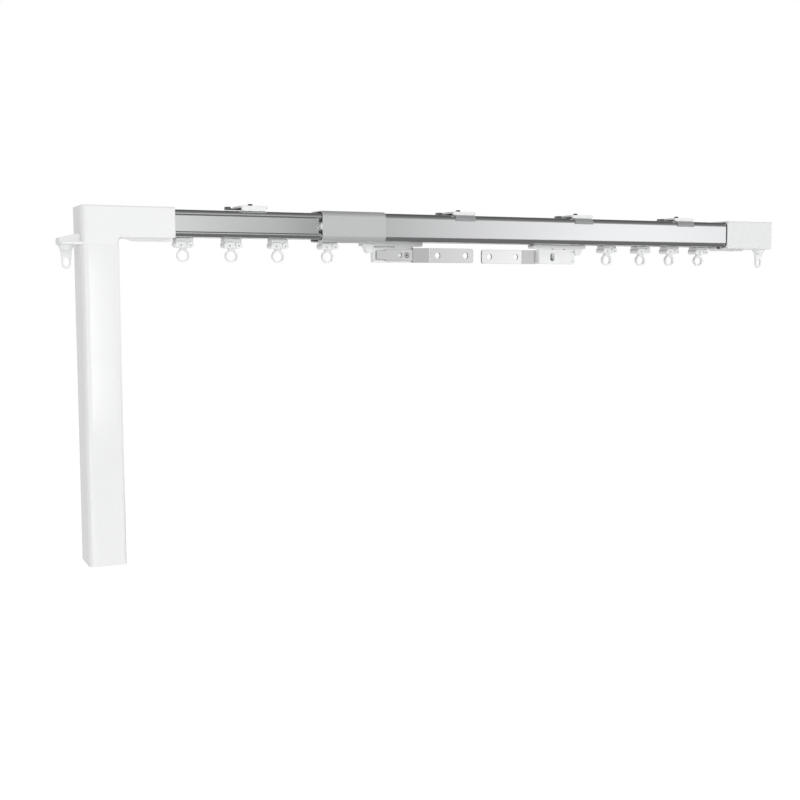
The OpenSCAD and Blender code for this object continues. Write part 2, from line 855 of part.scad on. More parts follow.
module right_hook() {
  color("white")
    end_hook(hook_x1, cap_low);
}

module hook_arm() {
  x0 = hook_x0 - collar_r - 0.2;
  x1 = column_x0 + column_r;
  y0 = -column_d / 2 + flange_step;
  y1 = hook_y + collar_r + 4;
  z0 = seam_z;
  color("white")
    difference() {
      union() {
        intersection() {
          along_y(y0 + rib_step, y1 - 1.6)
            polygon([[x1, z0], [x1, z0 + 9.9], [column_x0 - 4.5, z0 + 9], [x0 + 0.8, z0 + 5.6],
              [x0, z0 + 3.2], [x0, z0]]);
          along_z(z0, 0)
            translate([(x0 + x1 + 6) / 2, (y0 + y1) / 2])
              round_rect(x1 + 6 - x0, y1 - y0, 4);
        }
        along_z(z0, z0 + 2.4)
          intersection() {
            translate([(x0 + x1 + 6) / 2, (y0 + y1) / 2])
              round_rect(x1 + 6 - x0, y1 - y0, 5);
            translate([x0, y0])
              square([x1 - x0, y1 - y0]);
          }
      }
      // the column's own outline, so that the arm lies against its round edge
      along_z(z0 - 1, z0 + 20)
        translate([column_x, 0])
          round_rect(column_w, column_d, column_r);
      pin_z(hook_x0, hook_y, z0 - 1, z0 + 5.7, 3 + run_gap);
    }
}

// Return end

module return_housing() {
  color("white")
    difference() {
      soft_block(cap_x0, cap_x1, -cap_d / 2, cap_d / 2, cap_low, cap_low + cap_h, cap_edge_r, cap_edge_r);
      along_x(cap_x0 - 2, outer_x1 + 0.4)
        translate([0, axis_z])
          round_rect(outer_d + 2 * socket_gap, outer_h + 2 * socket_gap, outer_r + socket_gap);
      along_z(belt_z0 - 1.6, belt_z1 + 1.6) {
        translate([return_x, 0])
          circle(chamber_r);
        translate([outer_x1 - 2, -chamber_r])
          square([return_x - outer_x1 + 2, 2 * chamber_r]);
      }
      pin_z(return_x, 0, axis_z - cap_h / 2 + 4, axis_z + cap_h / 2 - 2, axle_r + 0.02);
      pin_z(hook_x1, hook_y, cap_low - 1, cap_low + 5.7, 3 + run_gap);
    }
}

module return_stop() {
  z1 = cap_low;
  z0 = cap_low - lid_t + 0.4;
  color("white")
    difference() {
      union() {
        along_y(-9, 9)
          polygon([[stop_x0, z1 + 0.6], [stop_x0 + 4, z0], [stop_x1, z0], [stop_x1, z1],
            [cap_x0 - 0.3, z1], [cap_x0 - 0.3, outer_low], [stop_x0, outer_low]]);
        // tongue that stands in the rail's slot and stops the gliders
        box(stop_x0 + 1, cap_x0 - 0.3, -outer_slot / 2 + 0.2, outer_slot / 2 - 0.2, outer_low - 0.3,
          outer_lip + 3);
      }
      pin_y(stop_x0 + 2.6, outer_low - 0.9, -20, 20, 0.7);
    }
}

// Ceiling clips

module clip_plate(x, rail_top) {
  hl = clip_l / 2;
  hd = clip_d / 2;
  color("white")
    difference() {
      union() {
        soft_block(x - hl, x + hl, -hd, hd, -plate_t, 0, plate_r, 0.5);
        soft_block(x - hl + 0.8, x + hl - 2.4, -hd, -hd + 4.6, rail_top, -plate_t + 0.8, 1, 0.4);
        soft_block(x + lever_w / 2 + 0.6, x + hl - 1, hd - 4.2, hd, rail_top, -plate_t + 0.8, 1, 0.4);
      }
      pin_z(x, 0, -plate_t - 1, 1, pivot_r + 0.03);
      pin_z(x - clip_hole_x, clip_hole_y, -plate_t - 1, 1, clip_hole_r);
      pin_z(x + clip_hole_x, -clip_hole_y, -plate_t - 1, 1, clip_hole_r);
    }
}

module clip_lever(x, rail_top, wall) {
  z1 = -plate_t - lever_gap;
  z0 = z1 - lever_t;
  foot = rail_top - wall - 0.2;
  // nearest the tab may come to the pivot so that it swings past the plate's corner
  tab = norm([clip_l / 2 - plate_r, clip_d / 2 - plate_r]) + plate_r + 0.4;
  color("gray")
    difference() {
      union() {
        along_z(z0, z1) {
          translate([x, 0])
            circle(lever_w / 2);
          translate([x - lever_reach + 4, -lever_w / 2])
            square([lever_reach - 4, lever_w]);
          translate([x - lever_reach + 4, 0])
            round_rect(8, lever_w, 2.5);
        }
        // turned-up finger tab outside the plate
        intersection() {
          along_z(z0, z1 + 1.5)
            translate([x - lever_reach + 4, 0])
              round_rect(8, lever_w, 2.5);
          along_y(-lever_w, lever_w)
            polygon([[x - lever_reach, z0], [x - lever_reach, z1 + 1.5], [x - tab - 0.9, z1 + 1.5],
              [x - tab, z1], [x - tab, z0]]);
        }
        pin_z(x, 0, foot - 0.5, z1, 4);
        // cross foot that turns under the rail's top walls
        along_z(foot - 1.2, foot)
          translate([x, 0])
            intersection() {
              circle(8);
              square([8.4, 20], center = true);
            }
      }
      pin_z(x, 0, foot - 3, 2, pivot_r + run_gap);
    }
}

module clip_screw(x, rail_top, wall) {
  foot = rail_top - wall - 0.2 - 1.2;
  pin_z(x, 0, foot - 0.5, pivot_out - 0.6, pivot_r);
  translate([x, 0, pivot_out - 0.6])
    cylinder(r1 = pivot_r, r2 = pivot_r - 0.6, h = 0.6);
  pin_z(x, 0, foot - 1.1, foot - 0.1, 2.6);
}

module clip_plate_1() {
  clip_plate(clip_1_x, inner_top);
}

module clip_plate_2() {
  clip_plate(0, outer_top);
}

module clip_plate_3() {
  clip_plate(clip_3_x, outer_top);
}

module clip_plate_4() {
  clip_plate(clip_4_x, outer_top);
}

module clip_lever_1() {
  clip_lever(clip_1_x, inner_top, inner_wall);
}

module clip_lever_2() {
  clip_lever(0, outer_top, outer_wall);
}

module clip_lever_3() {
  clip_lever(clip_3_x, outer_top, outer_wall);
}

module clip_lever_4() {
  clip_lever(clip_4_x, outer_top, outer_wall);
}

module inner_clip_screw() {
  color("black")
    clip_screw(clip_1_x, inner_top, inner_wall);
}

module outer_clip_screws() {
  color("black")
    for (x = [0, clip_3_x, clip_4_x])
      clip_screw(x, outer_top, outer_wall);
}

// Gliders and their wheels

function axle_level(lip) = lip + track_gap + wheel_r;

module wheel_pair(x, lip) {
  y1 = wheel_y;
  y2 = wheel_y + wheel_w;
  r = wheel_r;
  color("whitesmoke")
    translate([x, 0, axle_level(lip)])
      rotate([-90, 0, 0])
        rotate_extrude()
          polygon([[0, -y2 + 0.3], [1.6, -y2 + 0.3], [1.9, -y2], [r - 0.5, -y2], [r, -y2 + 0.5],
            [r, -y1 - 0.5],
            [r - 0.5, -y1], [spindle_r + 0.9, -y1], [spindle_r + 0.9, -y1 + 1.2], [spindle_r, -y1 + 1.2],
            [spindle_r, y1 - 1.2], [spindle_r + 0.9, y1 - 1.2], [spindle_r + 0.9, y1], [r - 0.5, y1],
            [r, y1 + 0.5], [r, y2 - 0.5], [r - 0.5, y2], [1.9, y2], [1.6, y2 - 0.3], [0, y2 - 0.3]]);
}

// Neck and hub that hold one wheel pair
module neck(x, lip, low, len) {
  z = axle_level(lip);
  along_y(-neck_t / 2, neck_t / 2) {
    translate([x - len / 2, low])
      square([len, z - low - 1.5]);
    translate([x - 3.1, low])
      square([6.2, z - low]);
    translate([x, z])
      circle(3.1);
  }
}

module glider(x, lip, rail_low, top_d) {
  low = body_top - glider_h;
  ring_z = low - 1.2 - ring_r;
  hl = glider_l / 2;
  hd = glider_d / 2;
  color("white")
    difference() {
      union() {
        neck(x, lip, body_top - 0.5, 10);
        soft_block(x - hl + 0.3, x + hl - 0.3, -top_d / 2, top_d / 2, body_top - 1, rail_low - hang_gap,
          1.2, 0.2);
        soft_block(x - hl + 0.4, x + hl - 0.4, -hd + 0.9, hd - 0.9, low + 0.6, body_top, 1.2, 0.5);
        // a long and a short lobe on each side
        along_y(-hd, hd) {
          translate([x + (lobe_split - hl) / 2, (low + body_top - 1.1) / 2])
            round_rect(hl + lobe_split, glider_h - 1.1, lobe_r);
          translate([x + (lobe_split + lobe_groove + hl) / 2, (low + body_top - 1.1) / 2])
            round_rect(hl - lobe_split - lobe_groove, glider_h - 1.1, lobe_r);
        }
        along_y(-ring_t / 2 - 0.4, ring_t / 2 + 0.4)
          polygon([[x - ring_neck / 2 - 0.6, low + 0.8], [x + ring_neck / 2 + 0.6, low + 0.8],
            [x + ring_neck / 2 - 0.4, low - 2], [x - ring_neck / 2 + 0.4, low - 2]]);
        pin_y(x, ring_z, -ring_t / 2, ring_t / 2, ring_r);
      }
      pin_y(x, axle_level(lip), -20, 20, spindle_r + run_gap);
      pin_y(x, ring_z, -20, 20, ring_eye_r);
      for (u = [(lobe_split - hl) / 2, (lobe_split + lobe_groove + hl) / 2]) {
        pin_y(x + u, low + 2.1, -hd - 1, -hd + 1.4, 0.75);
        pin_y(x + u, low + 2.1, hd - 1.4, hd + 1, 0.75);
      }
      // slit for the curtain hook, low on the right
      translate([x, 0, ring_z])
        rotate([0, 40, 0])
          box(ring_eye_r - 1, ring_r + 1, -ring_t, ring_t, -slit_w / 2, slit_w / 2);
    }
}

module glider_1() {
  glider(left_glider_1, inner_lip, inner_low, glider_top_d);
}

module glider_2() {
  glider(left_glider_2, inner_lip, inner_low, glider_top_d);
}

module glider_3() {
  glider(left_glider_3, inner_lip, inner_low, glider_top_d);
}

// The fourth glider hangs through the slot of the joint sleeve
module glider_4() {
  glider(left_glider_4, inner_lip, inner_low, flange_d);
}

module glider_5() {
  glider(right_glider_1, outer_lip, outer_low, glider_top_d);
}

module glider_6() {
  glider(right_glider_2, outer_lip, outer_low, glider_top_d);
}

module glider_7() {
  glider(right_glider_3, outer_lip, outer_low, glider_top_d);
}

module glider_8() {
  glider(right_glider_4, outer_lip, outer_low, glider_top_d);
}

module glider_wheels_1() {
  wheel_pair(left_glider_1, inner_lip);
}

module glider_wheels_2() {
  wheel_pair(left_glider_2, inner_lip);
}

module glider_wheels_3() {
  wheel_pair(left_glider_3, inner_lip);
}

module glider_wheels_4() {
  wheel_pair(left_glider_4, inner_lip);
}

module glider_wheels_5() {
  wheel_pair(right_glider_1, outer_lip);
}

module glider_wheels_6() {
  wheel_pair(right_glider_2, outer_lip);
}

module glider_wheels_7() {
  wheel_pair(right_glider_3, outer_lip);
}

module glider_wheels_8() {
  wheel_pair(right_glider_4, outer_lip);
}

// Master carriers: drawn with the lobe to the left and the arm on the front

module carrier(lip, rail_low) {
  hl = case_l / 2;
  y0 = -seat_y;
  y1 = case_d - seat_y;
  beam_top = rail_low - hang_gap;
  beam_low = body_top - 2.7;
  case_top = beam_low - 1.1;
  mid = (beam_top + beam_low) / 2;
  difference() {
    union() {
      // beam below the rail, with a rounded plain end
      along_y(-flange_d / 2, flange_d / 2) {
        translate([-lobe_l, beam_low])
          square([lobe_l + beam_l - 1.8, beam_top - beam_low]);
        translate([beam_l - 6, mid])
          round_rect(12, beam_top - beam_low, 1.6);
      }
      for (s = [-1, 1])
        neck(s * carrier_axle_x, lip, beam_low + 0.5, 9);
      box(-7, 7, -neck_t / 2, neck_t / 2, beam_low + 0.5, post_z);
      // case: the back stands up to the beam, the front hangs from a stem
      soft_block(-hl, hl, y0, y1, case_z0, case_top, 2, 2);
      soft_block(-hl, hl, y1 - 5, y1, case_z0, body_top, 1.4, 1.4);
      box(0.7, 18.6, y0 + 1.6, y1 - 2, case_top - 1, beam_low + 0.5);
      // lobe at the outer end
      along_y(-5.6, y1 + 1.2) {
        polygon([[-lobe_l, body_top], [-lobe_l + 4.2, body_top - 7], [-hl + 1, body_top - 7],
          [-hl + 1, body_top - 0.5]]);
        translate([-lobe_l + 6.8, body_top - 6.9])
          circle(2.6);
        translate([-hl - 2.2, body_top - 6.9])
          circle(2.6);
        translate([-lobe_l + 6.8, body_top - 9.5])
          square([lobe_l - hl - 9, 4]);
      }
      // pegs that carry the arm
      for (x = [peg_1_x, peg_2_x])
        pin_y(x, arm_z, y0 - arm_t / 2, y0 + 1, peg_r);
    }
    for (s = [-1, 1])
      pin_y(s * carrier_axle_x, axle_level(lip), -20, 20, spindle_r + run_gap);
    // socket of the belt clamp's peg
    pin_z(0, 0, post_z - 6, post_z + 1, 1.5 + run_gap);
    // openings of the plain side
    for (x = [-8.4, 6])
      pin_y(x, body_top - 2.5, y1 - 3, y1 + 1, 1.1);
    along_y(y1 - 2.6, y1 + 1)
      translate([5.8, arm_z])
        round_rect(4.8, 8.8, 2.3);
    for (z = [body_top - 6.2, case_z0 + 2.4])
      box(-hl - 1, -hl + 4.2, y1 - 1.5, y1 + 1, z, z + 0.9);
    // foot for the screw below the stem
    pin_z(-3.4, (y0 + y1) / 2, case_z0 - 1, case_z0 + 3, 1.4);
  }
}

module left_carrier() {
  color("white")
    translate([left_carrier_x, 0, 0])
      carrier(inner_lip, inner_low);
}

module right_carrier() {
  color("white")
    translate([right_carrier_x, 0, 0])
      rotate([0, 0, 180])
        carrier(outer_lip, outer_low);
}

// Bent steel strip: narrow in the case, bent outwards, wide at its free end
module overlap_arm(reach) {
  y1 = -seat_y;
  y0 = y1 - arm_t;
  a = bend_x;
  b = bend_x + bend_l;
  start = -case_l / 2 + 2.2;
  r = 2.4;
  hole_1 = reach - 8.9 - arm_hole_gap;
  difference() {
    intersection() {
      along_z(arm_z - arm_h, arm_z + arm_h)
        polygon([[start, y1], [a, y1], [b, y1 - arm_jog], [reach, y1 - arm_jog], [reach, y0 - arm_jog],
          [b - 0.4, y0 - arm_jog], [a - 0.4, y0], [start, y0]]);
      along_y(-40, 0) {
        translate([start, arm_z - 0.3 * arm_h])
          square([12, 0.6 * arm_h]);
        translate([start + 9.4, arm_z - 0.384 * arm_h])
          square([a + 1 - start - 9.4, 0.768 * arm_h]);
        translate([a, arm_z - arm_h / 2])
          square([reach - a - r, arm_h]);
        translate([reach - 5 * r, arm_z])
          round_rect(10 * r, arm_h, r);
      }
    }
    for (x = [peg_1_x, peg_2_x])
      pin_y(x, arm_z, -40, 0, peg_r + run_gap);
    for (x = [hole_1, hole_1 + arm_hole_gap])
      pin_y(x, arm_z, -40, 0, arm_hole_r);
  }
}

module left_arm() {
  color("silver")
    translate([left_carrier_x, 0, 0])
      overlap_arm(left_reach);
}

module right_arm() {
  color("gainsboro")
    translate([right_carrier_x, 0, 0])
      rotate([0, 0, 180])
        overlap_arm(right_reach);
}

// Toothed jaw pair that grips one run of the belt
module belt_clamp() {
  face = belt_back_r + jaw_gap;
  tips = belt_tip_r - jaw_gap;
  outside = inner_d / 2 - groove_depth - inner_wall - clamp_gap;
  hl = clamp_l / 2;
  difference() {
    union() {
      box(-hl, hl, -outside, neck_t / 2, post_z, belt_z0 - jaw_gap);
      box(-hl, hl, -outside, -face, post_z, belt_z1 - 0.8);
      box(-hl, hl, -tips, -tips + jaw_t, post_z, belt_z1 - 0.8);
      pin_z(0, 0, post_z - 5.5, post_z + 0.5, 1.5);
    }
    box(-hl - 1, hl + 1, -tips + jaw_t, neck_t, post_z + 1.8, belt_z1);
  }
}

module left_belt_clamp() {
  color("whitesmoke")
    translate([left_carrier_x, 0, 0])
      belt_clamp();
}

module right_belt_clamp() {
  color("whitesmoke")
    translate([right_carrier_x, 0, 0])
      rotate([0, 0, 180])
        belt_clamp();
}

module left_wheels_1() {
  wheel_pair(left_carrier_x - carrier_axle_x, inner_lip);
}

module left_wheels_2() {
  wheel_pair(left_carrier_x + carrier_axle_x, inner_lip);
}

module right_wheels_1() {
  wheel_pair(right_carrier_x - carrier_axle_x, outer_lip);
}

module right_wheels_2() {
  wheel_pair(right_carrier_x + carrier_axle_x, outer_lip);
}

outer_rail();
joint_sleeve();
guide_buttons();
return_housing();
return_stop();
return_axle();
return_pulley();
right_hook();
clip_plate_1();
clip_plate_2();
clip_plate_3();
clip_plate_4();
clip_lever_1();
clip_lever_2();
clip_lever_3();
clip_lever_4();
inner_clip_screw();
outer_clip_screws();
drive_belt();
inner_rail();
drive_head();
head_lid();
motor_tube();
motor_end_cap();
gearbox();
gear_motor();
control_board();
output_bearing();
drive_pulley();
power_inlet();
setting_button();
hook_arm();
left_hook();
left_carrier();
left_arm();
left_belt_clamp();
left_wheels_1();
left_wheels_2();
right_carrier();
right_arm();
right_belt_clamp();
right_wheels_1();
right_wheels_2();
glider_1();
glider_2();
glider_3();
glider_4();
glider_5();
glider_6();
glider_7();
glider_8();
glider_wheels_1();
glider_wheels_2();
glider_wheels_3();
glider_wheels_4();
glider_wheels_5();
glider_wheels_6();
glider_wheels_7();
glider_wheels_8();
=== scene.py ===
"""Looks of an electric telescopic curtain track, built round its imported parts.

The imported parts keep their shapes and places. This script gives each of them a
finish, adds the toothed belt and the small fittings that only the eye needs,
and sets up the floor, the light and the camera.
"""

from __future__ import annotations

import logging
import math
from dataclasses import dataclass, field
from enum import Enum

import bmesh
import bpy
from mathutils import Matrix, Vector


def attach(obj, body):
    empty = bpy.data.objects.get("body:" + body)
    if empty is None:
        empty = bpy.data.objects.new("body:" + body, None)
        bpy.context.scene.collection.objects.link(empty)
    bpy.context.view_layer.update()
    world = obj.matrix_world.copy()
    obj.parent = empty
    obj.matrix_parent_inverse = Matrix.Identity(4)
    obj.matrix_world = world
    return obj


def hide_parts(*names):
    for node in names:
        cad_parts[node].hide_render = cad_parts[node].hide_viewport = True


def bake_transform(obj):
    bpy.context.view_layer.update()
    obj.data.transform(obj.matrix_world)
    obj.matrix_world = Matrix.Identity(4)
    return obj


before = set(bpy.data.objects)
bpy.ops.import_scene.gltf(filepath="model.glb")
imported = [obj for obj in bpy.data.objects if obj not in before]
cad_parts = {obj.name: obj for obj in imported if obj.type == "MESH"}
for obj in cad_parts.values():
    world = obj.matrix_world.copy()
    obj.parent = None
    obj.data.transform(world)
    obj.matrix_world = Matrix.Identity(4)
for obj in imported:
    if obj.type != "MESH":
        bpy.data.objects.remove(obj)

LOG = logging.getLogger("curtain_track")
MM = 0.001
MERGE = 0.01 * MM
WHITE = (1.0, 1.0, 1.0, 1.0)

Point = tuple[float, float, float]
Colour = tuple[float, float, float]
Socket = bpy.types.NodeSocket
Shape = bmesh.types.BMesh
Vert = bmesh.types.BMVert
Edge = bmesh.types.BMEdge
Face = bmesh.types.BMFace


def mm(x: float, y: float, z: float) -> Vector:
    """Turn millimetres into the scene's metres.

    Args:
        x: Distance along the track.
        y: Distance towards the wall.
        z: Height.

    Returns:
        The point or step in metres.
    """
    return Vector((x * MM, y * MM, z * MM))


# Finishes


class Surface(Enum):
    """How the skin of a piece was made."""

    MOULDED = "moulded"
    DRAWN = "drawn"


class NodeSheet:
    """A small helper that lays out the nodes of one tree."""

    def __init__(self, tree: bpy.types.NodeTree) -> None:
        """Start on an emptied tree.

        Args:
            tree: The node tree that is filled.
        """
        self.tree = tree
        self.tree.nodes.clear()

    def add(self, kind: str, **settings: object) -> bpy.types.Node:
        """Add a node.

        Args:
            kind: Type name of the node.
            settings: Properties of the node and their values.

        Returns:
            The new node.
        """
        node = self.tree.nodes.new(kind)
        for name, value in settings.items():
            setattr(node, name, value)
        return node

    def join(self, source: Socket | float, target: Socket) -> None:
        """Link an output to an input, or set the input to a number.

        Args:
            source: The output or the number.
            target: The input.
        """
        if isinstance(source, float):
            target.default_value = source
        else:
            self.tree.links.new(source, target)

    def compute(self, operation: str, first: Socket, second: Socket | float) -> Socket:
        """Work out one value from two.

        Args:
            operation: Name of the operation.
            first: First value.
            second: Second value.

        Returns:
            The result.
        """
        node = self.add("ShaderNodeMath", operation=operation)
        self.join(first, node.inputs[0])
        self.join(second, node.inputs[1])
        return node.outputs[0]

    def scale(self, colour: Socket, factor: Socket) -> Socket:
        """Scale a colour.

        Args:
            colour: The colour.
            factor: The factor.

        Returns:
            The scaled colour.
        """
        node = self.add("ShaderNodeVectorMath", operation="SCALE")
        self.join(colour, node.inputs[0])
        self.join(factor, node.inputs["Scale"])
        return node.outputs[0]

    def ramp(
        self,
        value: Socket,
        source: tuple[float, float],
        target: tuple[Socket | float, Socket | float],
        kind: str = "LINEAR",
    ) -> Socket:
        """Map a range of a value to another range.

        Args:
            value: The value.
            source: The range that it runs through.
            target: What the ends of that range become.
            kind: How the ramp climbs.

        Returns:
            The mapped value.
        """
        node = self.add("ShaderNodeMapRange", interpolation_type=kind)
        self.join(value, node.inputs["Value"])
        for title, level in zip(("From Min", "From Max", "To Min", "To Max"), (*source, *target)):
            self.join(level, node.inputs[title])
        return node.outputs["Result"]

    def seen(self) -> Socket:
        """Tell the rays that come from the camera or a glossy surface.

        Returns:
            1 on such a ray, else 0.
        """
        path = self.add("ShaderNodeLightPath")
        return self.compute("MAXIMUM", path.outputs["Is Camera Ray"], path.outputs["Is Glossy Ray"])


def new_material(name: str) -> tuple[bpy.types.Material, NodeSheet, Socket]:
    """Make a material with nothing but its output.

    Args:
        name: Name of the material.

    Returns:
        The material, its sheet and the input that takes the surface.
    """
    made = bpy.data.materials.new(name)
    made.use_nodes = True
    sheet = NodeSheet(made.node_tree)
    leave = sheet.add("ShaderNodeOutputMaterial")
    return made, sheet, leave.inputs["Surface"]


class SkinGroups:
    """Shader node groups that several finishes share."""

    FLOW_SCALE = 34.0
    FLOW_DETAIL = 4.0
    GRAIN_DETAIL = 2.0
    LINE_LAYERS = ((1.6, 0.35), (14.0, 1.0))
    LINE_DETAIL = 3.0
    BEND_FACING = (0.06, 0.16)
    CUT_FACING = (0.7, 0.3)
    # Width and levels of two painted lines: shade along a bend's crease, a highlight along its
    # ridge.
    PAINTED_LINE_EDGE = (0.7 * MM, 0.4 * MM)
    PAINTED_LINE_LEVELS = (("Crease_shade", 0.8), ("Ridge_highlight", 1.25))

    def __init__(self) -> None:
        """Build the groups once."""
        self.groups = {
            Surface.MOULDED: self._moulded_skin(),
            Surface.DRAWN: self._drawn_skin(),
        }
        self.painted_bend_light = self._painted_bend_light()

    @staticmethod
    def _new_group(
        name: str, colour: str, values: tuple[str, ...], results: tuple[str, ...]
    ) -> tuple[bpy.types.NodeTree, NodeSheet, bpy.types.Node, bpy.types.Node]:
        """Make a group with its sockets.

        Args:
            name: Name of the group.
            colour: Name of the colour that it takes.
            values: Names of the values that it takes.
            results: Names of the values that it gives beside its colour.

        Returns:
            The group's tree, the sheet that fills it, its input node and its output node.
        """
        tree = bpy.data.node_groups.new(name, "ShaderNodeTree")
        face = tree.interface
        face.new_socket(colour, in_out="INPUT", socket_type="NodeSocketColor")
        for title in values:
            face.new_socket(title, in_out="INPUT", socket_type="NodeSocketFloat")
        face.new_socket("Colour", in_out="OUTPUT", socket_type="NodeSocketColor")
        for title in results:
            face.new_socket(title, in_out="OUTPUT", socket_type="NodeSocketFloat")
        sheet = NodeSheet(tree)
        return tree, sheet, sheet.add("NodeGroupInput"), sheet.add("NodeGroupOutput")

    def _new_skin(
        self, name: str
    ) -> tuple[bpy.types.NodeTree, NodeSheet, bpy.types.Node, bpy.types.Node]:
        """Make a group with the sockets that every skin has.

        Args:
            name: Name of the group.

        Returns:
            The group's tree, the sheet that fills it, its input node and its output node.
        """
        values = ("Mottle", "Grain", "Smoothest", "Roughest")
        return self._new_group(name, "Base", values, ("Roughness", "Height"))

    @staticmethod
    def _shade(
        sheet: NodeSheet, entry: bpy.types.Node, leave: bpy.types.Node, pattern: Socket
    ) -> None:
        """Let a pattern vary a skin's colour and roughness.

        Args:
            sheet: The group's sheet.
            entry: The group's input node.
            leave: The group's output node.
            pattern: A value from 0 to 1 over the surface.
        """
        centred = sheet.compute("SUBTRACT", pattern, 0.5)
        swing = sheet.compute("MULTIPLY", centred, entry.outputs["Mottle"])
        gain = sheet.compute("ADD", swing, 1.0)
        sheet.join(sheet.scale(entry.outputs["Base"], gain), leave.inputs["Colour"])
        limits = (entry.outputs["Smoothest"], entry.outputs["Roughest"])
        sheet.join(sheet.ramp(pattern, (0.0, 1.0), limits), leave.inputs["Roughness"])

    def _moulded_skin(self) -> bpy.types.NodeTree:
        """Fine eroded grain with slow flow marks, as on moulded plastic.

        Returns:
            The group's tree.
        """
        tree, sheet, entry, leave = self._new_skin("moulded_skin")
        place = sheet.add("ShaderNodeTexCoord")
        flow = sheet.add("ShaderNodeTexNoise")
        grain = sheet.add("ShaderNodeTexNoise")
        for noise, scale, detail in (
            (flow, self.FLOW_SCALE, self.FLOW_DETAIL),
            (grain, entry.outputs["Grain"], self.GRAIN_DETAIL),
        ):
            sheet.join(place.outputs["Object"], noise.inputs["Vector"])
            sheet.join(scale, noise.inputs["Scale"])
            sheet.join(detail, noise.inputs["Detail"])
        self._shade(sheet, entry, leave, flow.outputs["Fac"])
        sheet.join(grain.outputs["Fac"], leave.inputs["Height"])
        return tree

    def _drawn_skin(self) -> bpy.types.NodeTree:
        """Long die lines along the track, as on extruded or brushed metal.

        Returns:
            The group's tree.
        """
        tree, sheet, entry, leave = self._new_skin("drawn_skin")
        place = sheet.add("ShaderNodeTexCoord")
        layers: list[Socket] = []
        for along, across in self.LINE_LAYERS:
            width = sheet.compute("MULTIPLY", entry.outputs["Grain"], across)
            spread = sheet.add("ShaderNodeCombineXYZ")
            for number, scale in enumerate((along, width, width)):
                sheet.join(scale, spread.inputs[number])
            drawn = sheet.add("ShaderNodeVectorMath", operation="MULTIPLY")
            sheet.join(place.outputs["Object"], drawn.inputs[0])
            sheet.join(spread.outputs[0], drawn.inputs[1])
            lines = sheet.add("ShaderNodeTexNoise")
            lines.inputs["Scale"].default_value = 1.0
            lines.inputs["Detail"].default_value = self.LINE_DETAIL
            sheet.join(drawn.outputs[0], lines.inputs["Vector"])
            layers.append(lines.outputs["Fac"])
        mean = sheet.compute("MULTIPLY", sheet.compute("ADD", *layers), 0.5)
        self._shade(sheet, entry, leave, mean)
        sheet.join(mean, leave.inputs["Height"])
        return tree

    def _painted_bend_light(self) -> bpy.types.NodeTree:
        """Painted shade on cut edges, bend and crease, and a painted highlight on the ridge.

        Returns:
            The group's tree.
        """
        values = ("Cut_shade", "Bend_shade", "Ridge_highlight", "Crease_shade")
        tree, sheet, entry, leave = self._new_group("painted_bend_light", "Colour", values, ())
        place = sheet.add("ShaderNodeTexCoord")
        size = sheet.add("ShaderNodeVectorMath", operation="ABSOLUTE")
        sheet.join(place.outputs["Normal"], size.inputs[0])
        facing = sheet.add("ShaderNodeSeparateXYZ")
        sheet.join(size.outputs[0], facing.inputs[0])
        spot = sheet.add("ShaderNodeSeparateXYZ")
        sheet.join(place.outputs["Object"], spot.inputs[0])
        # Painted shade: the bend's faces are darkened to stand in for the darker reflection they
        # show.
        bend = self._band(sheet, facing.outputs["X"], self.BEND_FACING)
        tone = self._tint(sheet, entry.outputs["Colour"], bend, entry.outputs["Bend_shade"])
        # Painted shade along the crease line and a painted highlight along the ridge line.
        for title, level in self.PAINTED_LINE_LEVELS:
            gap = sheet.compute("SUBTRACT", spot.outputs["X"], entry.outputs[title])
            away = sheet.compute("ABSOLUTE", gap, 0.0)
            tone = self._tint(sheet, tone, self._band(sheet, away, self.PAINTED_LINE_EDGE), level)
        # Painted shade on the cut edges and hole walls, which stand in shadow.
        cut = self._band(sheet, facing.outputs["Y"], self.CUT_FACING)
        tone = self._tint(sheet, tone, cut, entry.outputs["Cut_shade"])
        sheet.join(tone, leave.inputs["Colour"])
        return tree

    @staticmethod
    def _band(sheet: NodeSheet, value: Socket, edge: tuple[float, float]) -> Socket:
        """Turn a value into a soft mask.

        Args:
            sheet: The group's sheet.
            value: The value that is masked.
            edge: Where the mask is 0 and where it is 1, in rising or falling order.

        Returns:
            The mask.
        """
        start, end = edge
        if start < end:
            return sheet.ramp(value, (start, end), (0.0, 1.0), "SMOOTHSTEP")
        return sheet.ramp(value, (end, start), (1.0, 0.0), "SMOOTHSTEP")

    @staticmethod
    def _tint(sheet: NodeSheet, colour: Socket, mask: Socket, level: Socket | float) -> Socket:
        """Scale a colour where a mask is set.

        Args:
            sheet: The group's sheet.
            colour: The colour so far.
            mask: Where it changes, from 0 to 1.
            level: The factor where the mask is 1.

        Returns:
            The new colour.
        """
        return sheet.scale(colour, sheet.ramp(mask, (0.0, 1.0), (1.0, level)))


SKINS = SkinGroups()
MATERIALS: dict[str, bpy.types.Material] = {}


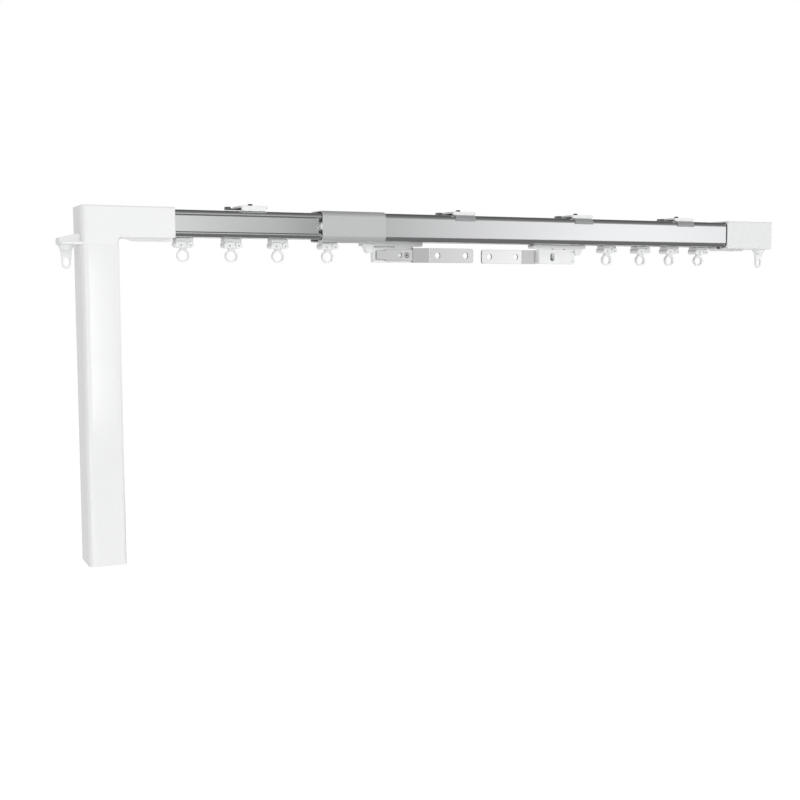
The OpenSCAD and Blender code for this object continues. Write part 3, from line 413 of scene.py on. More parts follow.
@dataclass(frozen=True)
class Finish:
    """One finish of the track: colour, gloss and the grain of its skin."""

    name: str
    slot: str
    colour: Colour
    smoothest: float
    roughest: float
    surface: Surface = Surface.MOULDED
    metallic: float = 0.0
    mottle: float = 0.03
    grain: float = 1500.0
    relief: float = 0.02
    relief_depth: float = 0.2
    coat: float = 0.0
    coat_roughness: float = 0.1
    edge: float = 0.0
    edge_samples: int = 6

    def material(self) -> bpy.types.Material:
        """Find or build the material of this finish.

        Returns:
            The material, which is shared by all pieces of the finish.
        """
        if self.name in MATERIALS:
            return MATERIALS[self.name]
        made, sheet, leave = new_material(self.name)
        MATERIALS[self.name] = made
        shader = sheet.add("ShaderNodeBsdfPrincipled")
        skin = sheet.add("ShaderNodeGroup", node_tree=SKINS.groups[self.surface])
        skin.inputs["Base"].default_value = (*self.colour, 1.0)
        skin.inputs["Mottle"].default_value = self.mottle
        skin.inputs["Grain"].default_value = self.grain
        skin.inputs["Smoothest"].default_value = self.smoothest
        skin.inputs["Roughest"].default_value = self.roughest
        bump = sheet.add("ShaderNodeBump")
        bump.inputs["Strength"].default_value = self.relief
        bump.inputs["Distance"].default_value = self.relief_depth * MM
        sheet.join(self._mark(sheet, skin.outputs["Colour"]), shader.inputs["Base Color"])
        sheet.join(skin.outputs["Roughness"], shader.inputs["Roughness"])
        sheet.join(skin.outputs["Height"], bump.inputs["Height"])
        sheet.join(bump.outputs["Normal"], shader.inputs["Normal"])
        if self.edge > 0.0:
            worn = sheet.add("ShaderNodeBevel", samples=self.edge_samples)
            worn.inputs["Radius"].default_value = self.edge * MM
            sheet.join(worn.outputs["Normal"], bump.inputs["Normal"])
        shader.inputs["Metallic"].default_value = self.metallic
        shader.inputs["Coat Weight"].default_value = self.coat
        shader.inputs["Coat Roughness"].default_value = self.coat_roughness
        sheet.join(shader.outputs["BSDF"], leave)
        made.diffuse_color = (*self.colour, 1.0)
        return made

    def _mark(self, sheet: NodeSheet, colour: Socket) -> Socket:
        """Leave the skin's colour as it is.

        Args:
            sheet: The material's sheet.
            colour: Colour of the skin.

        Returns:
            The same colour.
        """
        return colour


@dataclass(frozen=True)
class PaintedLightPressedFinish(Finish):
    """Finish of a pressed strip, with painted shade on its cut edges, bend and crease and a painted
    highlight on its ridge.
    """

    # Painted shade on the cut edges and on the bend, as factors on the strip's colour.
    cut_painted_shade: float = 0.22
    bend_painted_shade: float = 0.7
    # Where the painted ridge highlight and the painted crease shade lie along the track, in
    # millimetres.
    ridge_highlight_x: float = 0.0
    crease_shade_x: float = 0.0

    def _mark(self, sheet: NodeSheet, colour: Socket) -> Socket:
        """Paint shade on the cut edges, the bend and the crease, and a highlight on the ridge.

        Args:
            sheet: The material's sheet.
            colour: Colour of the plain strip.

        Returns:
            The colour with the painted shade and highlight.
        """
        # Painted shade and painted highlight on the strip.
        marks = sheet.add("ShaderNodeGroup", node_tree=SKINS.painted_bend_light)
        marks.inputs["Cut_shade"].default_value = self.cut_painted_shade
        marks.inputs["Bend_shade"].default_value = self.bend_painted_shade
        marks.inputs["Ridge_highlight"].default_value = self.ridge_highlight_x * MM
        marks.inputs["Crease_shade"].default_value = self.crease_shade_x * MM
        sheet.join(colour, marks.inputs["Colour"])
        return marks.outputs["Colour"]


HEAD_WHITE = Finish(
    "head_white", "white_shell", (0.885, 0.89, 0.89), 0.36, 0.46, relief=0.03, edge=0.5
)
TUBE_WHITE = Finish(
    "tube_white", "white_shell", (0.86, 0.865, 0.865), 0.15, 0.21, relief=0.01, coat=0.4
)
CAP_WHITE = Finish(
    "cap_white", "white_shell", (0.785, 0.79, 0.795), 0.36, 0.46, relief=0.03, edge=0.5
)
FITTING_WHITE = Finish(
    "fitting_white", "white_moulding", (0.87, 0.875, 0.875), 0.40, 0.52, relief=0.04, edge=0.3
)
NYLON_WHITE = Finish("nylon_white", "nylon", (0.85, 0.85, 0.83), 0.38, 0.48, mottle=0.05)
OUTER_ANODISED = Finish(
    "outer_anodised", "anodised_rail", (0.83, 0.835, 0.845), 0.15, 0.21, Surface.DRAWN,
    metallic=1.0,
)
INNER_ALUMINIUM = Finish(
    "mill_aluminium", "inner_aluminium", (0.80, 0.81, 0.815), 0.11, 0.17, Surface.DRAWN,
    metallic=1.0, mottle=0.06, grain=1300.0, relief=0.03, edge=0.2,
)
SLEEVE_GREY = Finish(
    "sleeve_grey", "grey_sleeve", (0.71, 0.725, 0.72), 0.36, 0.46,
    metallic=0.6, grain=2200.0, relief=0.05, edge=0.2,
)
# Both arms paint shade on their cut edges, bend and crease, and a highlight along the ridge.
ARM_ZINC = PaintedLightPressedFinish(
    "arm_zinc", "steel", (0.89, 0.90, 0.895), 0.18, 0.26, Surface.DRAWN,
    metallic=0.9, mottle=0.06, grain=1700.0, relief=0.05, edge=0.3,
    bend_painted_shade=0.78, ridge_highlight_x=-37.8, crease_shade_x=-54.6,
)
# A lighter copy of the arm zinc: painted light on the right arm, which sits back under the rail.
ARM_ZINC_LIT_COPY = PaintedLightPressedFinish(
    "arm_zinc_lit_copy", "steel", (0.96, 0.965, 0.96), 0.12, 0.18, Surface.DRAWN,
    metallic=0.9, grain=1700.0, relief=0.03, edge=0.3,
    bend_painted_shade=0.82, ridge_highlight_x=94.3, crease_shade_x=80.7,
)
CLIP_STEEL = Finish(
    "clip_steel", "lever_steel", (0.37, 0.375, 0.38), 0.40, 0.52, Surface.DRAWN,
    metallic=0.3, mottle=0.06, relief=0.04,
)
LEVER_STEEL = Finish(
    "lever_zinc", "lever_steel", (0.22, 0.225, 0.23), 0.46, 0.58, Surface.DRAWN,
    metallic=0.85, mottle=0.10, relief=0.05, edge=0.2,
)
SHAFT_STEEL = Finish(
    "shaft_steel", "steel", (0.66, 0.67, 0.68), 0.18, 0.30, metallic=1.0, mottle=0.05
)
CONTACT_BRASS = Finish(
    "contact_brass", "steel", (0.74, 0.60, 0.33), 0.20, 0.32, metallic=1.0, mottle=0.08
)
# Black of the clip screws and nuts; on other screws it is painted shade inside the socket.
SCREW_BLACK_AND_SOCKET_SHADE = Finish(
    "screw_black_and_socket_shade", "black_screw", (0.012, 0.012, 0.012), 0.34, 0.46, mottle=0.2
)
# Dark steel of small screw heads; also painted shade in the lid screws' sockets, beside the stop
# and in the cases' slots.
SCREW_DARK_AND_PAINTED_SHADE = Finish(
    "screw_dark_and_painted_shade", "black_screw", (0.10, 0.10, 0.10), 0.28, 0.40, metallic=0.9, mottle=0.1
)
BELT_BLACK = Finish(
    "belt_black", "belt_rubber", (0.03, 0.03, 0.031), 0.62, 0.78,
    mottle=0.25, grain=2600.0, relief=0.15,
)
# Near-black painted shade: the band round the rail's end stands in for the shadow in the gap at the
# return housing.
SEAM_SHADE_BLACK = Finish(
    "seam_shade_black", "belt_rubber", (0.025, 0.025, 0.026), 0.55, 0.70,
    mottle=0.2, grain=2400.0, relief=0.1,
)
MOTOR_GREY = Finish(
    "motor_grey", "motor_can", (0.16, 0.165, 0.17), 0.34, 0.48, metallic=0.9, mottle=0.10
)
BOARD_GREEN = Finish(
    "board_green", "board", (0.02, 0.13, 0.06), 0.28, 0.40, mottle=0.25, grain=600.0
)
INLET_BLACK = Finish(
    "inlet_black", "black_plastic", (0.02, 0.02, 0.021), 0.42, 0.56, mottle=0.2, relief=0.06
)
BUTTON_GREY = Finish(
    "button_grey", "button_plastic", (0.62, 0.63, 0.63), 0.36, 0.46, mottle=0.05
)


def dress(finish: Finish, *nodes: str) -> None:
    """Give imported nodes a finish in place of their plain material.

    Args:
        finish: The finish.
        nodes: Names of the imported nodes.
    """
    for name in nodes:
        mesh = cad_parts[name].data
        mesh.materials.clear()
        mesh.materials.append(finish.material())
        LOG.info("dressed %s in %s", name, finish.name)


# Shapes


def new_object(name: str, shape: Shape) -> bpy.types.Object:
    """Turn a bmesh into an object of the scene.

    Args:
        name: Name of the object.
        shape: Its shape, in metres and in place; it is freed.

    Returns:
        The new object, at the origin.
    """
    mesh = bpy.data.meshes.new(name)
    shape.to_mesh(mesh)
    shape.free()
    made = bpy.data.objects.new(name, mesh)
    bpy.context.scene.collection.objects.link(made)
    return made


def new_piece(name: str, shape: Shape, finish: Finish, *others: Finish) -> bpy.types.Object:
    """Turn a finished bmesh into a piece of the track.

    Args:
        name: Name of the piece.
        shape: Its shape, in metres and in place; it is freed.
        finish: Its finish.
        others: Finishes of the faces with a higher material number.

    Returns:
        The new piece, at the origin.
    """
    bmesh.ops.recalc_face_normals(shape, faces=shape.faces[:])
    piece = new_object(name, shape)
    for each in (finish, *others):
        piece.data.materials.append(each.material())
    LOG.info("built %s with %d faces", name, len(piece.data.polygons))
    return piece


def pick(items: list, kind: type) -> list:
    """Keep the elements of one kind.

    Args:
        items: Elements that an operator returned.
        kind: The kind that is kept.

    Returns:
        The kept elements, in order.
    """
    return [item for item in items if isinstance(item, kind)]


def edges_at(verts: list[Vert]) -> list[Edge]:
    """Collect the edges that meet some points.

    Args:
        verts: The points.

    Returns:
        The edges, each once.
    """
    return list(dict.fromkeys(edge for vert in verts for edge in vert.link_edges))


def outline(shape: Shape, points: list[Vector]) -> tuple[list[Vert], list[Edge]]:
    """Draw a closed line through points.

    Args:
        shape: The bmesh that takes the line.
        points: The points in metres.

    Returns:
        The line's points and edges.
    """
    verts = [shape.verts.new(point) for point in points]
    return verts, [shape.edges.new(pair) for pair in zip(verts, verts[1:] + verts[:1])]


def thicken(shape: Shape, faces: list[Face], step: Vector) -> None:
    """Extrude flat faces into a closed body.

    Args:
        shape: The bmesh that holds the faces.
        faces: The faces.
        step: The way to the body's far side in metres.
    """
    made = bmesh.ops.extrude_face_region(shape, geom=faces)["geom"]
    bmesh.ops.translate(shape, verts=pick(made, Vert), vec=step)


def soften(shape: Shape, edges: list[Edge], radius: float) -> None:
    """Round edges off.

    Args:
        shape: The bmesh that holds the edges.
        edges: The edges.
        radius: The rounding in millimetres.
    """
    bmesh.ops.bevel(
        shape, geom=edges, offset=radius * MM, segments=2, profile=0.5, affect="EDGES",
        material=-1,
    )


# Sub-assemblies


@dataclass
class Rails:
    """The two nested rails, the joint sleeve and its guide buttons."""

    outer: str = "outer_rail"
    inner: str = "inner_rail"
    sleeve: str = "joint_sleeve"
    guides: str = "guide_buttons"

    def dress(self) -> None:
        """Finish the rails and the sleeve."""
        dress(OUTER_ANODISED, self.outer)
        dress(INNER_ALUMINIUM, self.inner)
        dress(SLEEVE_GREY, self.sleeve)
        dress(NYLON_WHITE, self.guides)


class Facing(Enum):
    """The way a screw's head looks, as a turn about the track's line from straight down."""

    DOWN = 0.0
    FRONT = -0.5 * math.pi
    BACK = 0.5 * math.pi


@dataclass
class ScrewHead:
    """A pan head with a six-sided socket; lengths are in millimetres."""

    radius: float = 1.45
    height: float = 1.1
    socket: float = 0.75
    depth: float = 0.6
    crown_inset: float = 0.3
    crown_height: float = 0.35
    sides: int = 24
    socket_sides: int = 6

    def add_to(self, shape: Shape, seat: Vector, facing: Facing = Facing.DOWN) -> None:
        """Add one head on its seat.

        Args:
            shape: The bmesh that takes the head.
            seat: Middle of the seat in millimetres.
            facing: The way the head looks.
        """
        place = Matrix.Translation(mm(*seat)) @ Matrix.Rotation(facing.value, 4, "X")
        low = -self.height
        rim = self._ring(shape, self.radius, self.sides, place, 0.0)
        lip = self._ring(shape, self.radius, self.sides, place, low + self.crown_height)
        crown = self._ring(shape, self.radius - self.crown_inset, self.sides, place, low)
        mouth = self._ring(shape, self.socket, self.socket_sides, place, low)
        floor = self._ring(shape, self.socket, self.socket_sides, place, low + self.depth)
        for first, second in ((rim, lip), (lip, crown), (crown, mouth)):
            bmesh.ops.bridge_loops(shape, edges=first + second)
        bmesh.ops.contextual_create(shape, geom=rim)
        # The socket's walls and floor take the second, darker finish: painted shade in the recess.
        inside = bmesh.ops.bridge_loops(shape, edges=mouth + floor)["faces"]
        inside += bmesh.ops.contextual_create(shape, geom=floor)["faces"]
        for face in inside:
            face.material_index = 1

    @staticmethod
    def _ring(shape: Shape, radius: float, sides: int, place: Matrix, level: float) -> list[Edge]:
        """Add a ring of edges across the screw.

        Args:
            shape: The bmesh that takes the ring.
            radius: Radius in millimetres.
            sides: Number of edges.
            place: Where the screw stands and looks.
            level: Level of the ring along the screw in millimetres.

        Returns:
            The ring's edges.
        """
        spot = place @ Matrix.Translation(mm(0.0, 0.0, level))
        made = bmesh.ops.create_circle(shape, segments=sides, radius=radius * MM, matrix=spot)
        return edges_at(made["verts"])


@dataclass
class DriveUnit:
    """Drive head, motor column and what is fixed to them."""

    lid_screw_x: tuple[float, float] = (-319.0, -304.6)
    lid_screw_seat: float = -31.75
    contact_middle: tuple[float, float] = (-357.3, -10.5)
    contact_span: tuple[float, float] = (-318.1, -309.9)
    contact_bore: float = 0.93
    contact_radius: float = 1.05
    contact_taper: float = 0.15
    contact_steps: int = 24
    screw: ScrewHead = field(default_factory=ScrewHead)

    def dress(self) -> None:
        """Finish the drive unit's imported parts."""
        dress(HEAD_WHITE, "drive_head", "head_lid", "hook_arm", "motor_end_cap")
        dress(TUBE_WHITE, "motor_tube")
        dress(SHAFT_STEEL, "gearbox", "output_bearing")
        dress(MOTOR_GREY, "gear_motor")
        dress(BOARD_GREEN, "control_board")
        dress(NYLON_WHITE, "drive_pulley")
        dress(INLET_BLACK, "power_inlet")
        dress(BUTTON_GREY, "setting_button")
        dress(FITTING_WHITE, "left_hook")

    def build(self) -> None:
        """Add the lid's screws and the contact in the inlet."""
        heads = bmesh.new()
        for x in self.lid_screw_x:
            self.screw.add_to(heads, Vector((x, 0.0, self.lid_screw_seat)))
        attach(new_piece("lid_screws", heads, SHAFT_STEEL, SCREW_DARK_AND_PAINTED_SHADE), "inner_section")
        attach(new_piece("inlet_contact", self._contact(), CONTACT_BRASS), "inner_section")

    def _contact(self) -> Shape:
        """Turn the thin metal sleeve round the inlet's middle pin.

        Returns:
            The sleeve's shape.
        """
        shape = bmesh.new()
        x, y = self.contact_middle
        low, top = self.contact_span
        near, far = self.contact_bore, self.contact_radius
        corners = ((near, low), (far, low + self.contact_taper), (far, top), (near, top))
        verts, edges = outline(shape, [mm(x + radius, y, level) for radius, level in corners])
        bmesh.ops.spin(
            shape, geom=verts + edges, cent=mm(x, y, 0.0), axis=(0, 0, 1), angle=math.tau,
            steps=self.contact_steps, use_merge=True,
        )
        bmesh.ops.remove_doubles(shape, verts=shape.verts[:], dist=MERGE)
        return shape


@dataclass
class ReturnUnit:
    """Return housing at the far end with its pulley, stop and hook."""

    rail_depth: float = 33.2
    rail_height: float = 27.0
    rail_radius: float = 4.8
    rail_level: float = -17.1
    # Size and place of the band of painted shade round the rail's end.
    seam_shade_x: float = 325.5
    seam_shade_length: float = 1.0
    seam_shade_proud: float = 0.25
    seam_shade_sunk: float = 0.2
    seam_shade_corner_steps: int = 8
    pin_seat: Point = (321.4, -9.0, -31.4)
    pin_shadow_stretch: float = 1.9
    pin: ScrewHead = field(default_factory=lambda: ScrewHead(1.15, 0.7, 0.5, 0.4))

    def dress(self) -> None:
        """Finish the return unit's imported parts."""
        dress(CAP_WHITE, "return_housing", "return_stop")
        dress(SHAFT_STEEL, "return_axle")
        dress(NYLON_WHITE, "return_pulley")
        dress(FITTING_WHITE, "right_hook")

    def build(self) -> None:
        """Add the band of painted shade round the rail's end, and the stop's pin, stretched oblong
        to paint the shadow beside it.
        """
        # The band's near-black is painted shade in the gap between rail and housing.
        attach(new_piece("rail_end_seam_shade", self._seam_shade(), SEAM_SHADE_BLACK), "outer_section")
        head = bmesh.new()
        self.pin.add_to(head, Vector(self.pin_seat), Facing.FRONT)
        # A real pin, partly painted shade: its dark head is stretched along the track over the
        # shadow beside the stop.
        middle = Matrix.Translation(-mm(*self.pin_seat))
        bmesh.ops.scale(
            head, vec=(self.pin_shadow_stretch, 1.0, 1.0), space=middle, verts=head.verts[:]
        )
        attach(new_piece("stop_pin", head, SCREW_DARK_AND_PAINTED_SHADE, SCREW_BLACK_AND_SOCKET_SHADE), "outer_section")

    def _seam_shade(self) -> Shape:
        """Draw the thin band of painted shade round the rail where it enters the housing.

        Returns:
            The band's shape.
        """
        shape = bmesh.new()
        half_y = self.rail_depth / 2.0 + self.seam_shade_proud
        half_z = self.rail_height / 2.0 + self.seam_shade_proud
        corners = ((-half_y, -half_z), (half_y, -half_z), (half_y, half_z), (-half_y, half_z))
        loop = [shape.verts.new(mm(self.seam_shade_x, y, self.rail_level + z)) for y, z in corners]
        shape.faces.new(loop)
        bmesh.ops.bevel(
            shape, geom=loop, offset=(self.rail_radius + self.seam_shade_proud) * MM,
            segments=self.seam_shade_corner_steps, profile=0.5, affect="VERTICES", material=-1,
        )
        middle = shape.faces[:]
        band = bmesh.ops.inset_region(
            shape, faces=middle, thickness=(self.seam_shade_proud + self.seam_shade_sunk) * MM,
            use_boundary=True, use_even_offset=True,
        )["faces"]
        bmesh.ops.delete(shape, geom=middle, context="FACES")
        thicken(shape, band, mm(self.seam_shade_length, 0.0, 0.0))
        return shape


@dataclass
class BeltLoop:
    """Toothed belt round both pulleys."""

    drive_x: float = -357.3
    return_x: float = 366.0
    pitch_radius: float = 50.0 / math.tau
    web_in: float = 0.3
    web_out: float = 0.6
    tooth: float = 1.0
    tooth_slope: float = 0.4
    low: float = -17.5
    width: float = 7.0
    straight_steps: int = 290
    turn_steps: int = 10
    blend_margin: float = 25.0

    def build(self) -> None:
        """Sweep the belt's section round the loop and raise its teeth."""
        shape = bmesh.new()
        inner = self.pitch_radius - self.web_in
        outer = self.pitch_radius + self.web_out
        corners = ((inner, 0.0), (outer, 0.0), (outer, self.width), (inner, self.width))
        _, edges = outline(shape, [mm(self.drive_x, y, self.low + z) for y, z in corners])
        run = (self.return_x - self.drive_x) * MM / self.straight_steps
        for middle, way in ((self.return_x, 1.0), (self.drive_x, -1.0)):
            for _ in range(self.straight_steps):
                edges = self._advance(shape, edges, Vector((way * run, 0.0, 0.0)))
            swept = bmesh.ops.spin(
                shape, geom=edges, cent=mm(middle, 0.0, 0.0), axis=(0, 0, 1), angle=-math.pi,
                steps=self.turn_steps,
            )
            edges = pick(swept["geom_last"], Edge)
        bmesh.ops.remove_doubles(shape, verts=shape.verts[:], dist=MERGE)
        bmesh.ops.recalc_face_normals(shape, faces=shape.faces[:])
        bmesh.ops.inset_individual(
            shape, faces=self._tooth_faces(shape), thickness=self.tooth_slope * MM,
            depth=self.tooth * MM, use_even_offset=True,
        )
        belt = new_piece("toothed_belt", shape, BELT_BLACK)
        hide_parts("drive_belt")
        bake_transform(belt)

    @staticmethod
    def _advance(shape: Shape, edges: list[Edge], step: Vector) -> list[Edge]:
        """Extrude the section by one step.

        Args:
            shape: The belt's bmesh.
            edges: The section's edges.
            step: The step in metres.

        Returns:
            The edges of the new section.
        """
        made = bmesh.ops.extrude_edge_only(shape, edges=edges)["geom"]
        verts = pick(made, Vert)
        bmesh.ops.translate(shape, verts=verts, vec=step)
        fresh = set(verts)
        return [edge for edge in pick(made, Edge) if fresh.issuperset(edge.verts)]

    def _tooth_faces(self, shape: Shape) -> list[Face]:
        """Pick every second face of the belt's inner side.

        Args:
            shape: The belt's bmesh, a plain loop so far.

        Returns:
            The faces that carry a tooth.
        """
        run = (self.return_x - self.drive_x) * MM
        radius = self.pitch_radius * MM
        half = (2.0 * run + math.tau * radius) / (2 * (self.straight_steps + self.turn_steps))
        chosen = []
        for face in shape.faces:
            spot = face.calc_center_median()
            along = spot.x - self.drive_x * MM
            if along < 0.0:
                away = math.hypot(along, spot.y)
                turn = math.atan2(-along, -spot.y)
                place = 2.0 * run + math.pi * radius + turn * radius
            elif along > run:
                away = math.hypot(along - run, spot.y)
                place = run + math.atan2(along - run, spot.y) * radius
            else:
                away = abs(spot.y)
                place = along if spot.y > 0.0 else 2.0 * run + math.pi * radius - along
            inside = away < radius - 0.5 * self.web_in * MM
            upright = abs(face.normal.z) < 0.5
            if inside and upright and int(place / half) % 2 == 0:
                chosen.append(face)
        return chosen


@dataclass(frozen=True)
class CarrierSide:
    """Which carrier it is, where it hangs and which way its arm looks."""

    name: str
    middle_x: float
    turn: float
    facing: Facing


@dataclass
class CarrierPair:
    """The two master carriers with their arms, clamps and wheels."""

    sides: tuple[CarrierSide, CarrierSide] = (
        CarrierSide("left", -73.2, 1.0, Facing.FRONT),
        CarrierSide("right", 116.1, -1.0, Facing.BACK),
    )
    peg: tuple[float, float] = (12.5, -8.0)
    arm_level: float = -43.25
    foot: Point = (-3.4, -2.6, -49.6)
    # Place and shape of the dark hooked piece of painted shade in each case's slot.
    slot_shade_x: float = 5.8
    slot_shade_floor: float = 0.8
    slot_shade_thickness: float = 0.9
    slot_shade_edge: float = 0.12
    slot_shade_outline: tuple[tuple[float, float], ...] = (
        (-1.6, -3.2), (1.3, -3.2), (1.3, 3.2), (-0.1, 3.2), (-0.1, -1.9), (-1.6, -1.9),
    )
    arm_screw: ScrewHead = field(default_factory=lambda: ScrewHead(2.1, 0.8, 1.05, 0.65))
    foot_screw: ScrewHead = field(default_factory=lambda: ScrewHead(1.3, 0.9, 0.7, 0.5))

    def dress(self) -> None:
        """Finish both carriers."""
        for side in (each.name for each in self.sides):
            dress(FITTING_WHITE, f"{side}_carrier")
            dress(NYLON_WHITE, f"{side}_belt_clamp", f"{side}_wheels_1", f"{side}_wheels_2")
        dress(ARM_ZINC, "left_arm")
        # The right arm takes the lighter copy of the arm zinc, painted light.
        dress(ARM_ZINC_LIT_COPY, "right_arm")

    def build(self) -> None:
        """Add the screw on each arm's second peg, the screw under each case, and the dark hooked
        piece of painted shade in each case's slot.
        """
        for each in self.sides:
            side, x, turn = each.name, each.middle_x, each.turn
            head = bmesh.new()
            along, across = self.peg
            seat = Vector((x + turn * along, turn * across, self.arm_level))
            self.arm_screw.add_to(head, seat, each.facing)
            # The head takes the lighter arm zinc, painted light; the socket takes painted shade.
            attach(new_piece(f"{side}_arm_screw", head, ARM_ZINC_LIT_COPY, SCREW_BLACK_AND_SOCKET_SHADE), f"{side}_carrier")
            under = bmesh.new()
            along, across, level = self.foot
            self.foot_screw.add_to(under, Vector((x + turn * along, turn * across, level)))
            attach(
                new_piece(f"{side}_foot_screw", under, SCREW_DARK_AND_PAINTED_SHADE, SCREW_BLACK_AND_SOCKET_SHADE), f"{side}_carrier"
            )
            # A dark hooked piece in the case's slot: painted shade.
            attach(new_piece(f"{side}_slot_shade", self._slot_shade(x, turn), SCREW_DARK_AND_PAINTED_SHADE), f"{side}_carrier")

    def _slot_shade(self, x: float, turn: float) -> Shape:
        """Stamp the small dark hooked piece that paints the shade in the slot of a case's plain
        side.

        Args:
            x: Middle of the carrier in millimetres.
            turn: 1 for the left carrier, -1 for the right one, which is turned round.

        Returns:
            The piece's shape.
        """
        shape = bmesh.new()
        start = -self.slot_shade_floor * turn
        loop = [
            shape.verts.new(mm(x + turn * (self.slot_shade_x + along), start, self.arm_level + up))
            for along, up in self.slot_shade_outline
        ]
        thicken(shape, [shape.faces.new(loop)], mm(0.0, turn * self.slot_shade_thickness, 0.0))
        soften(shape, shape.edges[:], self.slot_shade_edge)
        return shape


@dataclass
class GliderRow:
    """All gliders and their wheels."""

    count: int = 8

    def dress(self) -> None:
        """Finish the gliders."""
        for number in range(1, self.count + 1):
            dress(FITTING_WHITE, f"glider_{number}")
            dress(NYLON_WHITE, f"glider_wheels_{number}")


@dataclass
class CeilingClips:
    """Clip plates, their turning levers and pivot screws."""

    pivot_x: tuple[float, float, float, float] = (-216.5, 0.0, 139.0, 270.0)
    lip_length: float = 22.0
    lip_centre: tuple[float, float] = (-11.85, -8.4)
    lip_radius: float = 5.0
    lip_thickness: float = 0.6
    lip_turn: float = 100.0
    lip_steps: int = 12
    lip_edge: float = 0.15
    nut_sides: int = 6
    nut_radius: float = 2.3
    nut_low: float = 0.4
    nut_high: float = 2.2
    nut_edge: float = 0.25

    def dress(self) -> None:
        """Finish the clips."""
        for number in range(1, len(self.pivot_x) + 1):
            dress(FITTING_WHITE, f"clip_plate_{number}")
            dress(LEVER_STEEL, f"clip_lever_{number}")
        dress(SCREW_BLACK_AND_SOCKET_SHADE, "inner_clip_screw", "outer_clip_screws")

    def build(self) -> None:
        """Add the lips that hook the clips over the outer rail, and the pivot screws' nuts."""
        for number, x in enumerate(self.pivot_x[1:], start=2):
            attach(new_piece(f"clip_lip_{number}", self._lip(x), CLIP_STEEL), "outer_section")
        for number, x in enumerate(self.pivot_x, start=1):
            body = "inner_section" if number == 1 else "outer_section"
            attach(new_piece(f"pivot_nut_{number}", self._nut(x), SCREW_BLACK_AND_SOCKET_SHADE), body)

    def _nut(self, x: float) -> Shape:
        """Make the six-sided nut on a pivot screw's end.

        Args:
            x: Place of the screw along the track in millimetres.

        Returns:
            The nut's shape.
        """
        shape = bmesh.new()
        radius = self.nut_radius * MM
        height = self.nut_high - self.nut_low
        made = bmesh.ops.create_cone(
            shape, cap_ends=True, cap_tris=False, segments=self.nut_sides, radius1=radius,
            radius2=radius, depth=height * MM,
            matrix=Matrix.Translation(mm(x, 0.0, self.nut_low + height / 2.0)),
        )
        soften(shape, edges_at(made["verts"]), self.nut_edge)
        return shape

    def _lip(self, x: float) -> Shape:
        """Bend one lip round the rail's edge.

        Args:
            x: Place of the clip along the track in millimetres.

        Returns:
            The lip's shape.
        """
        shape = bmesh.new()
        y, z = self.lip_centre
        half = self.lip_length / 2.0
        near, far = self.lip_radius, self.lip_radius + self.lip_thickness
        corners = ((-half, near), (half, near), (half, far), (-half, far))
        section = [shape.verts.new(mm(x + along, y, z + away)) for along, away in corners]
        swept = bmesh.ops.spin(
            shape, geom=[shape.faces.new(section)], cent=mm(x, y, z), axis=(1, 0, 0),
            angle=math.radians(self.lip_turn), steps=self.lip_steps,
        )
        ends = pick(swept["geom_last"], Face)
        soften(shape, [edge for face in ends for edge in face.edges], self.lip_edge)
        return shape


# Studio


def new_plate(name: str, corner: Vector, side_a: Vector, side_b: Vector) -> bpy.types.Object:
    """Make a flat sheet of the studio.

    Args:
        name: Name of the sheet.
        corner: One corner in metres.
        side_a: First side from that corner.
        side_b: Second side from that corner.

    Returns:
        The sheet's object.
    """
    shape = bmesh.new()
    ends = [shape.verts.new(point) for point in (corner, corner + side_a)]
    swept = bmesh.ops.extrude_edge_only(shape, edges=[shape.edges.new(ends)])["geom"]
    bmesh.ops.translate(shape, verts=pick(swept, Vert), vec=side_b)
    sheet = new_object(name, shape)
    return sheet


@dataclass(frozen=True)
class SoftBox:
    """One area lamp; lengths are in metres and the power is in watts."""

    name: str
    place: Point
    target: Point
    size: tuple[float, float]
    power: float
    hidden: bool = True

    def hang(self) -> None:
        """Add the lamp to the scene."""
        data = bpy.data.lights.new(self.name, "AREA")
        data.shape = "RECTANGLE"
        data.size, data.size_y = self.size
        data.energy = self.power
        lamp = bpy.data.objects.new(self.name, data)
        lamp.location = self.place
        lamp.rotation_mode = "QUATERNION"
        way = Vector(self.target) - Vector(self.place)
        lamp.rotation_quaternion = way.to_track_quat("-Z", "Y")
        bpy.context.scene.collection.objects.link(lamp)
        if self.hidden:
            lamp.visible_glossy = False
            lamp.visible_camera = False


@dataclass(frozen=True)
class Card:
    """A sheet that only reflections see, with the tones that it shows along one axis."""

    name: str
    glow_name: str
    corner: Point
    side_a: Point
    side_b: Point
    tones: tuple[tuple[float, float], ...]
    axis: str = "Y"

    def hang(self) -> None:
        """Add the card to the scene."""
        card = new_plate(self.name, Vector(self.corner), Vector(self.side_a), Vector(self.side_b))
        card.data.materials.append(self._glow())
        card.visible_camera = False
        card.visible_diffuse = False
        card.visible_transmission = False
        card.visible_shadow = False

    def _glow(self) -> bpy.types.Material:
        """Make the card's light, which counts as a lamp even where it is dim.

        Returns:
            The material.
        """
        made, sheet, leave = new_material(self.glow_name)
        made.cycles.emission_sampling = "FRONT_BACK"
        glow = sheet.add("ShaderNodeEmission")
        sheet.join(self._level(sheet), glow.inputs["Strength"])
        sheet.join(glow.outputs[0], leave)
        return made

    def _level(self, sheet: NodeSheet) -> Socket | float:
        """Run through the card's tones.

        Args:
            sheet: The sheet of the card's material.

        Returns:
            The tone along the card's axis, or the only tone.
        """
        total: Socket | float = self.tones[0][1]
        if len(self.tones) == 1:
            return total
        place = sheet.add("ShaderNodeTexCoord")
        parts = sheet.add("ShaderNodeSeparateXYZ")
        sheet.join(place.outputs["Object"], parts.inputs[0])
        for (start, tone), (end, next_tone) in zip(self.tones, self.tones[1:]):
            rise = sheet.ramp(parts.outputs[self.axis], (start, end), (0.0, next_tone - tone))
            total = sheet.compute("ADD", rise, total)
        return total


